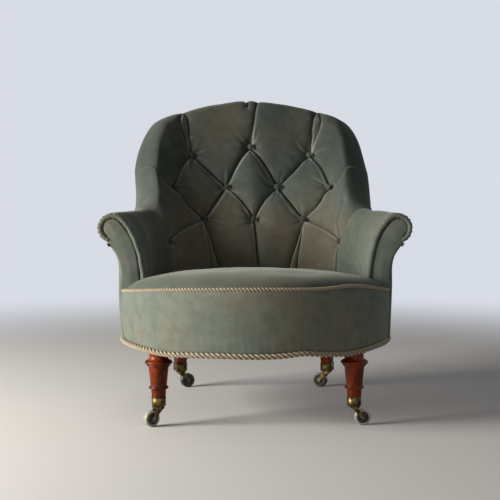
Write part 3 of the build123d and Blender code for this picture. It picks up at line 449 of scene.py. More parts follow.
def loft(name, rings, finish, slot, node, body="chair", joined=False, sharp=None, fill=None,
         **marks):
    """Closed skin: quads between neighbouring rings of points in mm, and one face over each end."""
    count, size = rings.shape[:2]
    index = np.arange(count * size).reshape(count, size)
    here, there = (index, np.roll(index, -1, 0)) if joined else (index[:-1], index[1:])
    quads = np.stack([here, np.roll(here, -1, 1), np.roll(there, -1, 1), there], -1).reshape(-1, 4)
    groups = [quads] if joined else [quads, index[:1, ::-1], index[-1:]]
    points = rings.reshape(-1, 3)
    if enclosed(points, groups) < 0:
        groups = [group[:, ::-1] for group in groups]
    faces = [face for group in groups for face in group.tolist()]
    made = smooth_piece(name, points, faces, finish, slot, node, body)
    if sharp:
        made.data.set_sharp_from_angle(angle=np.radians(sharp))
    for mark, values in marks.items():
        kind, key, shape = ("FLOAT_VECTOR", "vector", rings.shape) if np.ndim(values) == 3 else \
            ("FLOAT", "value", (count, size))
        field = made.data.attributes.new(mark, kind, "POINT")
        field.data.foreach_set(key, np.array(np.broadcast_to(values, shape)).ravel())
    made.data.validate()


# Cotton velvet, woven with a cut pile: dark where it is seen straight on, pale and soft where the
# light grazes the pile, rubbed paler where the pile is crushed and faded to brown in patches.
# Painted shade darkens it along the folds, in the buttons' hollows, over the upper back and the
# buttons, and at half strength over the seat; painted highlights in the colour of rubbed pile run
# along the folds' lips and the pleats' ridges.
PAINTED_PILE_SHADE = "#a3a6a6"                 # painted shade: the velvet's colour is multiplied towards this, most over the upper back and buttons


def velvet_finish(name, shade_colour, green, brown, rubbed_and_highlight, fold_shade):
    """Velvet: faded patches about 100 mm wide, crushed pile at 12 mm, and nap at half a millimetre."""
    made, tree, shader, place = new_finish(name, Roughness=0.88, IOR=1.45, Sheen_Weight=0.3,
                                           Sheen_Roughness=0.42, Sheen_Tint="#c6c6b6",
                                           Specular_IOR_Level=0.25)
    crease, lie, highlight_share, soiled = [add(tree, "Attribute", out="Fac", attribute_name=mark) for mark in
                                ("crease", "pile_lie", "ridge_highlight", "sitter_wear")]
    patches = add(tree, "TexNoise", {"Vector": place, "Scale": 4.5, "Detail": 3.0,
                                     "Roughness": 0.5, "Distortion": 0.4})
    crushed = add(tree, "TexNoise", {"Vector": place, "Scale": 45.0, "Detail": 4.0})
    nap = add(tree, "TexNoise", {"Vector": place, "Scale": 900.0, "Detail": 2.0})
    browner = add(tree, "Math", {0: soiled, 1: 0.26, 2: patches}, operation="MULTIPLY_ADD")
    faded = add(tree, "MapRange", {"Value": browner, "From Min": 0.46, "From Max": 0.76})
    lift = add(tree, "MapRange", {"Value": crushed, "From Min": 0.28, "From Max": 0.75,
                                  "To Max": 0.22})
    patchy = add(tree, "MapRange", {"Value": patches, "From Min": 0.35, "From Max": 0.62,
                                    "To Min": 0.25, "To Max": 0.8})
    ridge = add(tree, "Math", {0: highlight_share, 1: patchy}, operation="MULTIPLY")
    # Painted shade: near-black along the creases of the folds and in the buttons' hollows.
    hollow = add(tree, "MapRange", {"Value": crease, "From Min": 0.4, "From Max": 0.9,
                                    "To Max": fold_shade}, interpolation_type="SMOOTHSTEP")
    body = add(tree, "Mix", {0: faded, 6: green, 7: brown}, data_type="RGBA")
    mixed = add(tree, "Mix", {0: lift, 6: body, 7: rubbed_and_highlight}, data_type="RGBA")
    # Painted shade: the colour is multiplied towards a grey, most over the upper back and the buttons.
    darkened = add(tree, "Mix", {0: lie, 6: mixed, 7: PAINTED_PILE_SHADE}, data_type="RGBA",
               blend_type="MULTIPLY")
    # Painted highlight: paler along the folds' lips and the pleats' ridges, in the colour of rubbed pile.
    highlit = add(tree, "Mix", {0: ridge, 6: darkened, 7: rubbed_and_highlight}, data_type="RGBA")
    shaded = add(tree, "Mix", {0: hollow, 6: highlit, 7: shade_colour}, data_type="RGBA")
    pile = add(tree, "Mix", {"Factor": 0.6, "A": nap, "B": crushed})
    bump = add(tree, "Bump", {"Height": pile, "Distance": 0.0006, "Strength": 0.55})
    feed(tree, shader, {"Base Color": shaded, "Normal": bump})
    return made


velvet = velvet_finish("cut_pile_velvet", shade_colour="#12110d", green="#53584d", brown="#655b48",
                       rubbed_and_highlight="#868b82", fold_shade=0.85)

# The grid of the cover: round its border at one arm, along the arms and the back, and round again.
ARM_COLUMNS, BACK_COLUMNS, BORDER_STEPS, INSIDE_ROWS, ROLL_ROWS = 30, 300, 12, 178, 66
border_turn = np.linspace(0, np.pi, BORDER_STEPS)[1:]
edge_start = ARM_FRONT + BORDER / 2
half_border = np.stack([edge_start - BORDER / 2 * np.sin(border_turn),
                        BORDER / 2 * (1 - np.cos(border_turn))])
half_border = np.hstack([half_border, [[ARM_FRONT + BORDER_TUCK], [BORDER]]])
sweep = np.concatenate([np.linspace(edge_start, 0, ARM_COLUMNS)[:-1],
                        np.linspace(0, 90, BACK_COLUMNS)])
sweep = np.concatenate([sweep, sweep[-2::-1]])
cover_place = np.concatenate([half_border[0][::-1], sweep, half_border[0]])[:, None]
cover_inset = np.concatenate([half_border[1][::-1], 0 * sweep, half_border[1]])[:, None]
cover_side = np.where(np.arange(len(cover_place)) < len(cover_place) / 2, -1, 1)[:, None]
cover_row = np.concatenate([np.linspace(0, 1, INSIDE_ROWS),
                            1 + np.linspace(0, 1, ROLL_ROWS)[1:]])[None]

reach, height = padding_line(cover_place, cover_row)
slope = np.gradient(reach, axis=1), np.gradient(height, axis=1)
away = square_to(slope)
skin = in_space(cover_place, cover_side, reach, height)

# Folds: each sinks its flanks by two falling exponentials, and its groove and lip by the gap to it.
tuft = np.ones(reach.shape)
crease, lips, groove, pleats, pull, gathers = np.zeros((6, *reach.shape))
narrow = 1 - 0.55 * step_up(cover_row, 0.8, 1.15)
fading = 1 - 0.8 * step_up(cover_row, 1.12, 1.5)
for depth, middle_depth, *points in FOLDS:
    one_sided = points[0][0] == MIDDLE and points[1][0] > MIDDLE - 2
    for side in ((1,) if one_sided else (-1, 1)):
        gap, share, above = near_path(skin, fold_path(points, side))
        strength = (depth + (middle_depth - depth) * 4 * share * (1 - share)) * fading
        tuft *= 1 - strength * (0.5 * np.exp(-gap / (FOLD_FLANK * narrow))
                                + 0.5 * np.exp(-gap / (FOLD_EDGE * narrow)))
        groove = np.maximum(groove, strength * np.exp(-gap / GROOVE_WIDTH))
        # This mark is painted shade along each fold, for the velvet's colour.
        crease = np.maximum(crease, strength * np.exp(-gap / CREASE_WIDTH))
        lips += strength * bell(gap - 1.5 * LIP_WIDTH, LIP_WIDTH) * (above < 0)

# Pleats round each button: ridges with a furrow beside them, at random angles and lengths.
draw = np.random.default_rng(11)
for place, side, level in button_spots:
    apart = skin - on_padding(place, side, level)
    gap = np.linalg.norm(apart, axis=-1)
    turn = np.arctan2(apart[..., 2], apart[..., 0] * np.sin(np.radians(place))
                      + side * apart[..., 1] * np.cos(np.radians(place)))
    tuft *= 1 - 0.9 * bell(gap, BUTTON_GATHER)
    pull += bell(gap, BUTTON_DIP)
    # Painted shade in the button's hollow.
    crease = np.maximum(crease, 0.8 * bell(gap, BUTTON_DIP))
    for ray in np.cumsum(draw.uniform(0.35, 1.05, PLEAT_COUNT)) - 1.2:
        bend, length = draw.uniform(-0.008, 0.008), draw.uniform(*PLEAT_LENGTH)
        swing = (turn - ray - bend * gap + np.pi) % (2 * np.pi) - np.pi
        beside = swing * np.maximum(gap, PLEAT_START) / (PLEAT_WIDTH * (0.75 + gap / 55))
        pleats += (bell(beside, 1) - 0.8 * bell(beside - 1.7, 1.1)) * bell(gap, length) \
            * step_up(gap, PLEAT_START, PLEAT_CLEAR) * draw.uniform(0.3, 1.0)

# Gathers at the arms' fronts: the same ridges, side by side round the border, dying away behind.
behind = cover_place - ARM_FRONT
round_way = (cover_row - 1) * np.where(cover_row < 1, ARM_INSIDE, ARM_ROLL)
for spot in np.cumsum(draw.uniform(*GATHER_SPACING, GATHER_COUNT)) - 40:
    beside = (round_way - spot - draw.uniform(-0.2, 0.2) * behind) / (1.7 + 0.07 * behind)
    gathers += draw.uniform(0.5, 1.2) * (bell(beside, 1) - 0.6 * bell(beside - 2, 1.2)) \
        * bell(behind, draw.uniform(*GATHER_LENGTH))
gathers *= GATHER_RISE * (cover_place < 0)

roll_share, inside_row = np.clip(cover_row - 1, 0, 1), np.clip(cover_row, 0, 1)
back_share = step_up(cover_place, 16, 44)
rise = TUFT_RISE * back_share * (1 - 0.72 * step_up(roll_share, 0, 0.33))
rise = rise * (0.75 + 0.25 * step_up(cover_row, 0, 0.1))
on_arm = (1 - back_share) * ARM_BELLY * 4 * inside_row * (1 - inside_row)
fold_share = (0.3 + 0.7 * back_share) * (1 - 0.45 * step_up(roll_share, 0, 0.4))
swell = (rise * tuft - TUFT_RISE * 0.18 * back_share + on_arm
         - GROOVE_DEPTH * groove * fold_share + LIP_RISE * lips * back_share
         - BUTTON_PULL * pull + PLEAT_RISE * pleats + gathers
         + HAND_WAVE * wander(skin, HAND_WAVE_SIZE) + SMALL_WAVE * wander(skin, SMALL_WAVE_SIZE, seed=9)
         - (1 - back_share) * ARM_FOLD * (1 - tuft))
swell *= 1 - step_up(roll_share, 0.86, 1)
swell -= cover_inset
reach, height = reach + swell * away[0], height + swell * away[1]
outer = in_space(cover_place, cover_side, reach, height)

# Behind it the cover turns over the top rail and comes down the back of the stuffing.
middle, level = roll_centre(cover_place)
far, near = middle + RAIL_WIDTH / 2, middle - RAIL_WIDTH / 2
low, high = level - RAIL_HEIGHT / 2, level + RAIL_HEIGHT / 2
foot = np.maximum(BACKING_REACH, inside_foot(cover_place) + BACKING_ROOM)
under = (np.hstack([middle + 1.3, middle + 1.3, far, far, near, near, foot]),
         np.hstack([on_roll(cover_place, ROLL_END)[1], low, low, high, high, low,
                    np.full_like(middle, STUFFING_BOTTOM)]))
hidden = in_space(np.maximum(cover_place, ARM_FRONT + BORDER), cover_side, *under)
# Marks for the velvet's colour: painted shade along the folds; painted shade that is faint at the arms'
# fronts and the low back and strongest over the upper back; painted highlights along fold lips and pleat
# ridges; and a browner colour low on the back.
marks = {"crease": crease * (0.35 + 0.65 * back_share),
         "pile_lie": 0.15 + 0.85 * step_up(cover_place, -60, 30) * (0.2 + 0.8 * step_up(height, 420, 640)),
         "ridge_highlight": np.clip(lips + 0.7 * np.maximum(pleats, 0), 0, 1) * (0.1 + 0.9 * back_share),
         "sitter_wear": back_share * (1 - step_up(height, 400, 600)) * (cover_row < 1)}
marks = {mark: np.hstack([values, np.zeros(under[0].shape)]) for mark, values in marks.items()}
loft("inside_cover", np.concatenate([outer, hidden], 1), velvet, "velvet", "tufted_stuffing",
     fill=0.8, **marks)


# ---- Buttons ----
# Twelve domed metal moulds, 15 mm across, covered with the same velvet. Each is sewn through the
# stuffing with twine, which pulls it down into its hollow.
BUTTON_RADIUS, BUTTON_HEIGHT, BUTTON_SEAT = 7.5, 4.0, -2.2


def button_rings(place, side, level):
    """Covered dome: r = R sin(a)^0.8 and h = H cos(a), flat on top, round the button's own axis."""
    low, high = on_padding(place, side, level - 8), on_padding(place, side, level + 8)
    upwards = (high - low) / np.linalg.norm(high - low)
    turn = np.radians(place)
    sideways = np.array([-side * np.sin(turn), np.cos(turn), 0])
    out = np.cross(sideways, upwards) * side
    a = np.linspace(0.04, np.pi * 0.62, 12)[:, None, None]
    b = whole_turn(28)[None, :, None]
    ring = BUTTON_RADIUS * np.sin(a) ** 0.8 * (np.cos(b) * sideways + np.sin(b) * upwards)
    return (low + high) / 2 + ring + (BUTTON_SEAT + BUTTON_HEIGHT * np.cos(a)) * out


# The buttons' velvet takes the painted shade at full strength.
for number, spot in enumerate(button_spots, 1):
    loft(f"covered_button_{number:02d}", button_rings(*spot), velvet, "velvet", "tuft_buttons",
         crease=0.12, pile_lie=1.0)


# ---- Seat ----
# A domed cushion of stuffing over springs, covered with velvet that is pulled down to the frame:
# bowed at the front, and tucked in between the arms and the back.
SEAT_TILT, SEAT_EDGE_Z, SEAT_CROWN, SEAT_FALL = np.radians(6.5), 326, 62, 26
SEAT_EDGE, SEAT_SHOULDER, SHOULDER_START = RAIL_OUTER + 4, 281, 252
SEAT_PRESS, SEAT_SIDE = 3, 3           # how far it presses into arms and back; its edge's height
SEAT_WAVE, SEAT_WAVE_SIZE = 1.1, 120
seat_depth, seat_half = INSIDE_DEPTH + SEAT_PRESS, INSIDE_HALF_WIDTH + SEAT_PRESS
seat_middle_z = SEAT_EDGE_Z - SEAT_RADIUS * np.sin(SEAT_TILT)

# Outline: a circle before the arms, then the foot of arms and back.
bow_angle = np.linspace(np.radians(1.5), np.arccos(-ARM_FRONT / SEAT_EDGE), 60)
tail_angle = np.linspace(0, np.radians(88.5), 46)
ahead = np.concatenate([-SEAT_EDGE * np.cos(bow_angle), np.linspace(ARM_FRONT + 0.01, -4, 18),
                        seat_depth * np.sin(tail_angle)])[:, None]
depth = np.clip(ahead / seat_depth, 0, 1)
tail = seat_half * (1 - depth ** INSIDE_SQUARENESS) ** (1 / INSIDE_SQUARENESS)
half = np.where(ahead < ARM_FRONT, np.sqrt(np.maximum(SEAT_EDGE ** 2 - ahead ** 2, 0)), tail)
across = np.clip(SEAT_EDGE * np.sin(np.linspace(-np.pi / 2, np.pi / 2, 121))[None], -half, half)
side_gap = np.where(ahead < ARM_FRONT, np.inf, half - np.abs(across))
back_gap = np.maximum(seat_depth - ahead, 0)
# Dome: C - F (r / S)^2, rounded off to its edge by a superellipse, and sunk beside arms and back.
reach = np.hypot(across, ahead)
dome = SEAT_CROWN - SEAT_FALL * (reach / SEAT_SHOULDER) ** 2 - SEAT_SIDE
q = np.clip((reach - SHOULDER_START) / (SEAT_EDGE - SHOULDER_START), 0, 1)
bed = SEAT_SIDE + dome * (1 - q ** 2.8) ** (1 / 2.2) - 8 * np.exp(-side_gap / 10) \
    - 6 * np.exp(-back_gap / 12) + SEAT_WAVE * wander(points_at(across, ahead, 0), SEAT_WAVE_SIZE, seed=2)
seat_top = np.stack([across, HUB_Y + ahead * np.cos(SEAT_TILT) + bed * np.sin(SEAT_TILT),
                     seat_middle_z - ahead * np.sin(SEAT_TILT) + bed * np.cos(SEAT_TILT)], -1)
seat_bottom = seat_top[:, ::-4] * [0.998, 1, 0] + [0, 0, RAIL_TOP + 4]
# The seat's velvet takes the painted shade at half strength.
loft("seat_cover", np.concatenate([seat_top, seat_bottom], 1), velvet, "velvet", "seat_cushion",
     fill=0.9, pile_lie=0.5)


# ---- Apron ----
# A padded band of velvet round the front of the seat frame, sewn to the seat along the piping.
# Its hem is drawn up a little on both sides of the middle, where the tacks pulled it.
APRON_DRAW_IN, COVER_THICKNESS = 5, 12
APRON_BELLY, APRON_WAVE, APRON_WAVE_SIZE, HEM_PULL = 2.2, 0.9, 110, 0.22
apron_half = np.degrees(np.arccos(-ARM_FRONT / (SEAT_RADIUS - 4)))


def hem_height(across, front=1):
    """Height of the hem: a soft lift and three dips, each a Gaussian round its own middle."""
    lift = 3.5 * bell(across - 105, 34) - bell(across + 130, 45)
    dip = 6 * bell(np.abs(across) - 215, 60) + 1.5 * bell(across, 60)
    return COVER_BOTTOM + front * (lift - dip)


def seam_lift(across):
    """How far the seam under the seat is pulled up on the right: a Gaussian."""
    return 9 * bell(across - 228, 62)


def before_hub(turn, reach, height):
    """Points round the hub, at an angle from the front: x = r sin t, y = -r cos t."""
    return points_at(reach * np.sin(turn), HUB_Y - reach * np.cos(turn), height)


degrees = np.linspace(-apron_half, apron_half, 220)[:, None]
turn = np.radians(degrees)
down = np.linspace(0, 1, 34)[None]
hem = hem_height(SEAT_RADIUS * np.sin(turn))
seam = SEAT_EDGE_Z - SEAT_RADIUS * (1 - np.cos(turn)) * np.tan(SEAT_TILT) + 3 \
    + seam_lift(SEAT_RADIUS * np.sin(turn))
apron_z = seam + (hem - seam) * down
band = before_hub(turn, SEAT_RADIUS, apron_z) - [0, HUB_Y, 0]
pulls = HEM_PULL * np.sin(degrees * 1.9 + 1.5 * np.sin(degrees / 9)) * np.exp(-(1 - down) / 0.25)
apron_reach = SEAT_RADIUS - APRON_DRAW_IN * down + APRON_BELLY * np.sin(np.pi * down) \
    - 5 * bell(down, 0.03) - 2.5 * bell(1 - down, 0.03) \
    + APRON_WAVE * wander(band, APRON_WAVE_SIZE, seed=6) + pulls
lining_z = apron_z[:, ::-6]
apron_z = np.concatenate([apron_z, lining_z], 1)
apron_reach = np.concatenate([apron_reach, np.full_like(lining_z, RAIL_OUTER + 0.5)], 1)
loft("apron", before_hub(turn, apron_reach, apron_z), velvet, "velvet", "seat_apron", fill=0.9)


# ---- Piping and rope trim ----
# Twisted gold cords: a thin one sewn in the seam between seat and apron, and a rope of three
# strands round the whole bottom edge, hand-stitched to the hem.
def run_along(path):
    """Length of a path up to each of its points: the sum of its steps."""
    return np.concatenate([[0], np.cumsum(np.linalg.norm(np.diff(path, axis=0), axis=1))])


def cord_rings(path, radius, strands, lay, lobes, points=20, whole=False):
    """Tube along a path whose section has one lobe a strand and turns once in `strands` lays."""
    ahead_of = np.roll(path, -1, 0) - np.roll(path, 1, 0) if whole else np.gradient(path, axis=0)
    way = ahead_of / np.linalg.norm(ahead_of, axis=1, keepdims=True)
    out = (path - [0, HUB_Y, 0]) * [1, 1, 0]
    out -= (out * way).sum(1, keepdims=True) * way
    out /= np.linalg.norm(out, axis=1, keepdims=True)
    up = np.cross(way, out)
    run = run_along(path)[:, None]
    if whole:
        turns = run[-1, 0] / lay / strands
        lay *= turns / round(turns)
    turn = whole_turn(points)[None]
    twist = turn - 2 * np.pi * run / (lay * strands)
    size = radius * (1 - lobes + lobes * np.abs(np.cos(strands * twist / 2)) * 1.6)
    rings = path[:, None] + size[..., None] * (np.cos(turn)[..., None] * out[:, None]
                                               + np.sin(turn)[..., None] * up[:, None])
    return rings, points_at(twist * strands / (2 * np.pi), run / lay, 0)


def gold_yarn(name, shade_colour, middle, bright, threads):
    """Yarn: fine threads along each strand, from its own strand coordinate, dusty patches, and painted
    shade between the strands.
    """
    made, tree, shader, place = new_finish(name, Roughness=0.66, IOR=1.46, Sheen_Weight=0.1)
    along = add(tree, "Attribute", out="Vector", attribute_name="strand")
    across = add(tree, "SeparateXYZ", {0: along})
    thread = add(tree, "Math", {0: across, 1: threads}, operation="MULTIPLY")
    wave = add(tree, "Math", {0: thread, 1: 1.0}, operation="PINGPONG")
    valley = add(tree, "Math", {0: across, 1: 0.5}, operation="PINGPONG")
    fold = add(tree, "MapRange", {"Value": valley, "From Min": 0.48, "From Max": 0.2})
    dust = add(tree, "TexNoise", {"Vector": place, "Scale": 60.0, "Detail": 3.0})
    tone = add(tree, "Mix", {0: dust, 6: middle, 7: bright}, data_type="RGBA")
    # Painted shade: dark brown where one strand meets the next.
    strand = add(tree, "Mix", {0: fold, 6: shade_colour, 7: tone}, data_type="RGBA")
    bump = add(tree, "Bump", {"Height": wave, "Distance": 0.0004, "Strength": 0.6})
    feed(tree, shader, {"Base Color": strand, "Normal": bump})
    return made


# Rayon and cotton yarn, twisted: old gold, with painted shade between the strands, and a dull silky shine.
old_gold = gold_yarn("twisted_gold_yarn", "#2e271b", "#80715a", "#a29273", threads=6.0)

PIPING_RADIUS, PIPING_LAY, PIPING_REACH = 3.9, 8.5, SEAT_RADIUS - 3
ROPE_RADIUS, ROPE_LAY, ROPE_DROP = 5.2, 12.5, 4.3
turn = np.radians(np.linspace(-apron_half - 0.5, apron_half + 0.5, 900))
ahead = PIPING_REACH * np.cos(turn)
piping_path = np.stack([PIPING_REACH * np.sin(turn), HUB_Y - ahead * np.cos(SEAT_TILT),
                        seat_middle_z + PIPING_RADIUS + 0.3 + ahead * np.sin(SEAT_TILT)
                        + seam_lift(SEAT_RADIUS * np.sin(turn))], -1)
rings, strand = cord_rings(piping_path, PIPING_RADIUS, strands=2, lay=PIPING_LAY, lobes=0.3, points=16)
loft("seat_piping_cord", rings, old_gold, "gold_cord", "seat_piping", strand=strand)

turn = np.linspace(-np.pi, np.pi, 1300, endpoint=False)
in_front = step_up(np.cos(turn), 0.1, 0.5)
rope_path = before_hub(turn, SEAT_RADIUS - APRON_DRAW_IN,
                       hem_height(SEAT_RADIUS * np.sin(turn), in_front) - ROPE_DROP)
rings, strand = cord_rings(rope_path, ROPE_RADIUS, strands=3, lay=ROPE_LAY, lobes=0.44, whole=True)
loft("hem_rope", rings, old_gold, "gold_cord", "rope_trim", joined=True, strand=strand)


# ---- Outside covers ----
# Plain velvet over wadding on the outside of arms and back, tacked under the roll and the seat
# frame, with a blind-stitched seam where the arm's panel meets the back's.
SIDES = ((1, "right"), (-1, "left"))
ROLL_FLARE, ARM_FLARE, BACK_FLARE = 45, 0.1, 0.9
KNEE_ROW, KNEE_SOFT = 0.75, 0.13       # share of the height at which the line bends, and how softly
PANEL_ROOM = 5.5                       # above the seat the cover stops this far behind the front panel
COVER_LIP = 1.4                        # the turned-in edge reaches this far past the roll's middle
SEAM_DEPTH, SEAM_WIDTH = 2.5, 0.9      # the seam's hollow in mm and its half width in degrees
COVER_BELLY, COVER_WAVE, COVER_WAVE_SIZE = 2.2, 1.0, 120
LINING_ROWS = [59, 45, 30, 15, 0]      # of the cover's 60 rows, those that the lining follows back down


def cover_line(place, row):
    """Foot to knee to roll, row 0 to 1: two straights joined by a quadratic curve at the knee."""
    foot = np.where(place < 0, np.sqrt(SEAT_RADIUS ** 2 - np.minimum(place, 0) ** 2), SEAT_RADIUS)
    top_reach, top_height = on_roll(place, ROLL_END)
    flare = smooth_keys(((-90, ARM_FLARE), (0, 1.5 * ARM_FLARE), (BACK_START, BACK_FLARE),
                         (90, BACK_FLARE)), place)
    knee = np.stack([foot + np.maximum(0, top_reach - foot) * flare, top_height - ROLL_FLARE])
    foot = np.stack([foot, np.full_like(foot, COVER_BOTTOM)])
    top = np.stack([top_reach, top_height - 0.3])
    low = foot + (knee - foot) * row / KNEE_ROW
    high = knee + (top - knee) * (row - KNEE_ROW) / (1 - KNEE_ROW)
    t = np.clip((row - KNEE_ROW + KNEE_SOFT) / (2 * KNEE_SOFT), 0, 1)
    start = foot + (knee - foot) * (1 - KNEE_SOFT / KNEE_ROW)
    end = knee + (top - knee) * KNEE_SOFT / (1 - KNEE_ROW)
    bend = start * (1 - t) ** 2 + 2 * knee * t * (1 - t) + end * t * t
    return np.where(row < KNEE_ROW - KNEE_SOFT, low, np.where(row > KNEE_ROW + KNEE_SOFT, high, bend))


def cover_rings(place, side, nose, row):
    """Cover on its line, bulging by a sine of the row, with its lining 12 mm inside it."""
    place, row = np.broadcast_arrays(place, row)
    reach, height = cover_line(place, row)
    points = in_space(place, side, reach, height)
    seam = np.exp(-np.abs(np.abs(place) - BACK_START) / SEAM_WIDTH) * (place > 10)
    bulge = COVER_BELLY * np.sin(np.pi * row) + COVER_WAVE * wander(points, COVER_WAVE_SIZE, seed=8) \
        - SEAM_DEPTH * seam
    bulge = bulge * (1 - step_up(row, 0.9, 1)) * step_up(row, 0, 0.1)
    outer = in_space(place, side, reach + bulge - nose, height)
    inner_reach = reach[:, LINING_ROWS] - COVER_THICKNESS + nose
    inner_reach[:, :1] = roll_centre(place[:, -1:])[0] + COVER_LIP + nose / 2
    inner = in_space(place[:, LINING_ROWS], side, inner_reach, height[:, LINING_ROWS])
    return np.concatenate([outer, inner], 1)


# Arms: the front edge is rounded by half the thickness, and stands back above the seat.
row = np.linspace(0, 1, 60)[None]
a, half, start = np.linspace(np.radians(80), 0, 8), COVER_THICKNESS / 2, ARM_FRONT + PANEL_ROOM
place = np.concatenate([start + half - half * np.sin(a),
                        np.linspace(start + half, BACK_START, 90)[1:]])[:, None]
nose = np.concatenate([half * (1 - np.cos(a)), np.zeros(89)])[:, None]
under_seat = (1 - step_up(row, 0.36, 0.44)) * (1 - step_up(place, start, start + 20))
arm_rings = cover_rings(place - PANEL_ROOM * under_seat, 1, nose, row)
for side, hand in SIDES:
    loft(f"arm_cover_{hand}", arm_rings * [side, 1, 1], velvet, "velvet", f"outside_arm_{hand}",
         fill=0.95)

sweep = np.linspace(-1, 1, 200)[:, None] * (90 - BACK_START)
back_rings = cover_rings(90 - np.abs(sweep), np.where(sweep < 0, -1, 1), 0, row)
loft("back_cover", back_rings, velvet, "velvet", "outside_back", fill=0.95)


# ---- Front panels of the arms ----
# Thin boards cut to the scroll, padded with wadding and covered with velvet. They are nailed over
# the raw edges of the covers, inside the gathered border.
FACING_THICKNESS, PANEL_EDGE, PANEL_BELLY, PANEL_BELLY_REACH, PANEL_TIP = 5, 5, 2.2, 22, 48
PANEL_WAVE, PANEL_WAVE_SIZE = 0.5, 60
facing_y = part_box("arm_facing_right")[1].y / MM


def arc(centre, radius, start, end, count):
    """Points of an arc: its centre plus r (cos a, sin a), with a from start to end in degrees."""
    a = np.radians(np.linspace(start, end, count))[:, None]
    return np.array(centre) + np.array(radius) * np.hstack([np.cos(a), np.sin(a)])


def evenly(points, count=110):
    """The same line with its points spaced evenly along it."""
    run = run_along(points)
    at = np.linspace(0, run[-1], count)
    return np.stack([np.interp(at, run, points[:, 0]), np.interp(at, run, points[:, 1])], 1)


# Inner edge: a cubic drawn in by the border, then the scroll's arc; outer edge: the cover.
row = np.linspace(0.02, 0.96, 40)
line = padding_line(np.full_like(row, ARM_FRONT), row)
inner_edge = line + square_to(np.gradient(line, axis=1)) * (ARM_BELLY * 4 * row * (1 - row) - BORDER)
row = np.linspace(0.40, 0.99, 60)
outer_edge = cover_line(np.full_like(row, ARM_FRONT), row) + 0.6
scroll = np.stack(roll_centre(np.array(ARM_FRONT))), ROLL_RADIUS - BORDER
inner_edge = evenly(np.concatenate([inner_edge.T, arc(*scroll, ROLL_START - 3, PANEL_TIP, 40)]))
outer_edge = evenly(np.concatenate([outer_edge.T, arc(*scroll, ROLL_END + 12, PANEL_TIP, 40)]))

# Front: from edge to edge by shares, standing out by T (1 - (1 - d / e)^2)^0.5 at a distance d.
breadth = outer_edge - inner_edge
share = 0.5 - 0.5 * np.cos(np.linspace(0, np.pi, 41))
front = inner_edge[:, None] + breadth[:, None] * share[:, None]
from_edge = np.minimum(share, 1 - share) * np.linalg.norm(breadth, axis=1)[:, None]
rounded = np.sqrt(1 - (1 - np.clip(from_edge / PANEL_EDGE, 0, 1)) ** 2)
padded_out = FACING_THICKNESS * rounded \
    + PANEL_BELLY * np.clip(from_edge / PANEL_BELLY_REACH, 0, 1) ** 0.7
panel_skin = np.stack([front[..., 0], facing_y - 0.4 - padded_out, front[..., 1]], -1)
panel_skin[..., 1] -= PANEL_WAVE * wander(panel_skin, PANEL_WAVE_SIZE, seed=12) * rounded
panel_back = panel_skin[:, ::-8] * [1, 0, 1] + [0, facing_y, 0]
panel_rings = np.concatenate([panel_skin, panel_back], 1)
for side, hand in SIDES:
    loft(f"arm_panel_{hand}", panel_rings * [side, 1, 1], velvet, "velvet", f"arm_facing_{hand}",
         fill=1.0, crease=0.1)


# ---- Gimp ----
# A flat woven braid of the same gold yarn with a scalloped edge, glued and tacked over the raw
# edge of the covers under the roll, from one arm's front round the back to the other's.
GIMP_WIDTH, GIMP_THICKNESS, GIMP_DROP, GIMP_LIFT = 10, 2.2, 1.5, 1.6
GIMP_LOOP, GIMP_THREAD, MM_A_DEGREE = 7.5, 2.2, 6.9
sweep = np.concatenate([np.linspace(ARM_FRONT, 0, 60)[:-1], np.linspace(0, 90, 400)])
place = np.concatenate([sweep, sweep[::-1][1:]])[:, None]
side = np.where(np.arange(len(place)) < len(sweep), 1, -1)[:, None]
top, knee = cover_line(place, np.ones_like(place)), cover_line(place, np.full_like(place, 0.8))
down_way = (knee - top) / np.hypot(*(knee - top))
out_way = square_to(knee - top)
run = np.where(place < 0, place, place * MM_A_DEGREE)
run = np.cumsum(np.abs(np.gradient(run, axis=0)), axis=0)
loops = np.abs(np.sin(np.pi * run / GIMP_LOOP))
# Section: a flattened superellipse, wider and thicker at each loop.
a = whole_turn(14)[None]
flat = np.sign(np.cos(a)) * np.abs(np.cos(a)) ** 0.6
flat = GIMP_DROP + GIMP_WIDTH / 2 * (1 + (0.86 + 0.14 * loops) * flat)
thick = np.sign(np.sin(a)) * np.abs(np.sin(a)) ** 0.5 * (0.75 + 0.25 * loops)
thick = GIMP_LIFT + GIMP_THICKNESS * (0.5 + 0.5 * thick)
gimp_rings = in_space(place, side, *(top + flat * down_way + thick * out_way))
# Its thread coordinates give the braid the yarn's painted shade between threads.
weave = points_at(flat / GIMP_THREAD, run / GIMP_LOOP, 0)
loft("gimp_braid", gimp_rings, old_gold, "gold_braid", "gimp", strand=weave)


# ---- Legs ----
# Turned front legs with a bead, a tapered shaft, a ring and a capital, and square raked rear legs,
# all of mahogany under old french polish.
CUP_TOP, CUP_FLOOR, CUP_BOTTOM = 68, 53, 45.2
REAR_TOP, REAR_FOOT, REAR_TURN, REAR_BEND = 45, 27, np.radians(25), 1.5
FRONT_FOOT = 15.0                      # radius of the front legs inside their cups

# Mahogany, turned, grain-filled and french polished: deep red-brown with darker grain, and a soft
# gloss that age has dulled.
mahogany = wood("polished_mahogany", "#1a0600", "#7a2b02", 0.010, (1, 1, 0.22), rough=0.36,
                coat=0.08, shine=0.12)


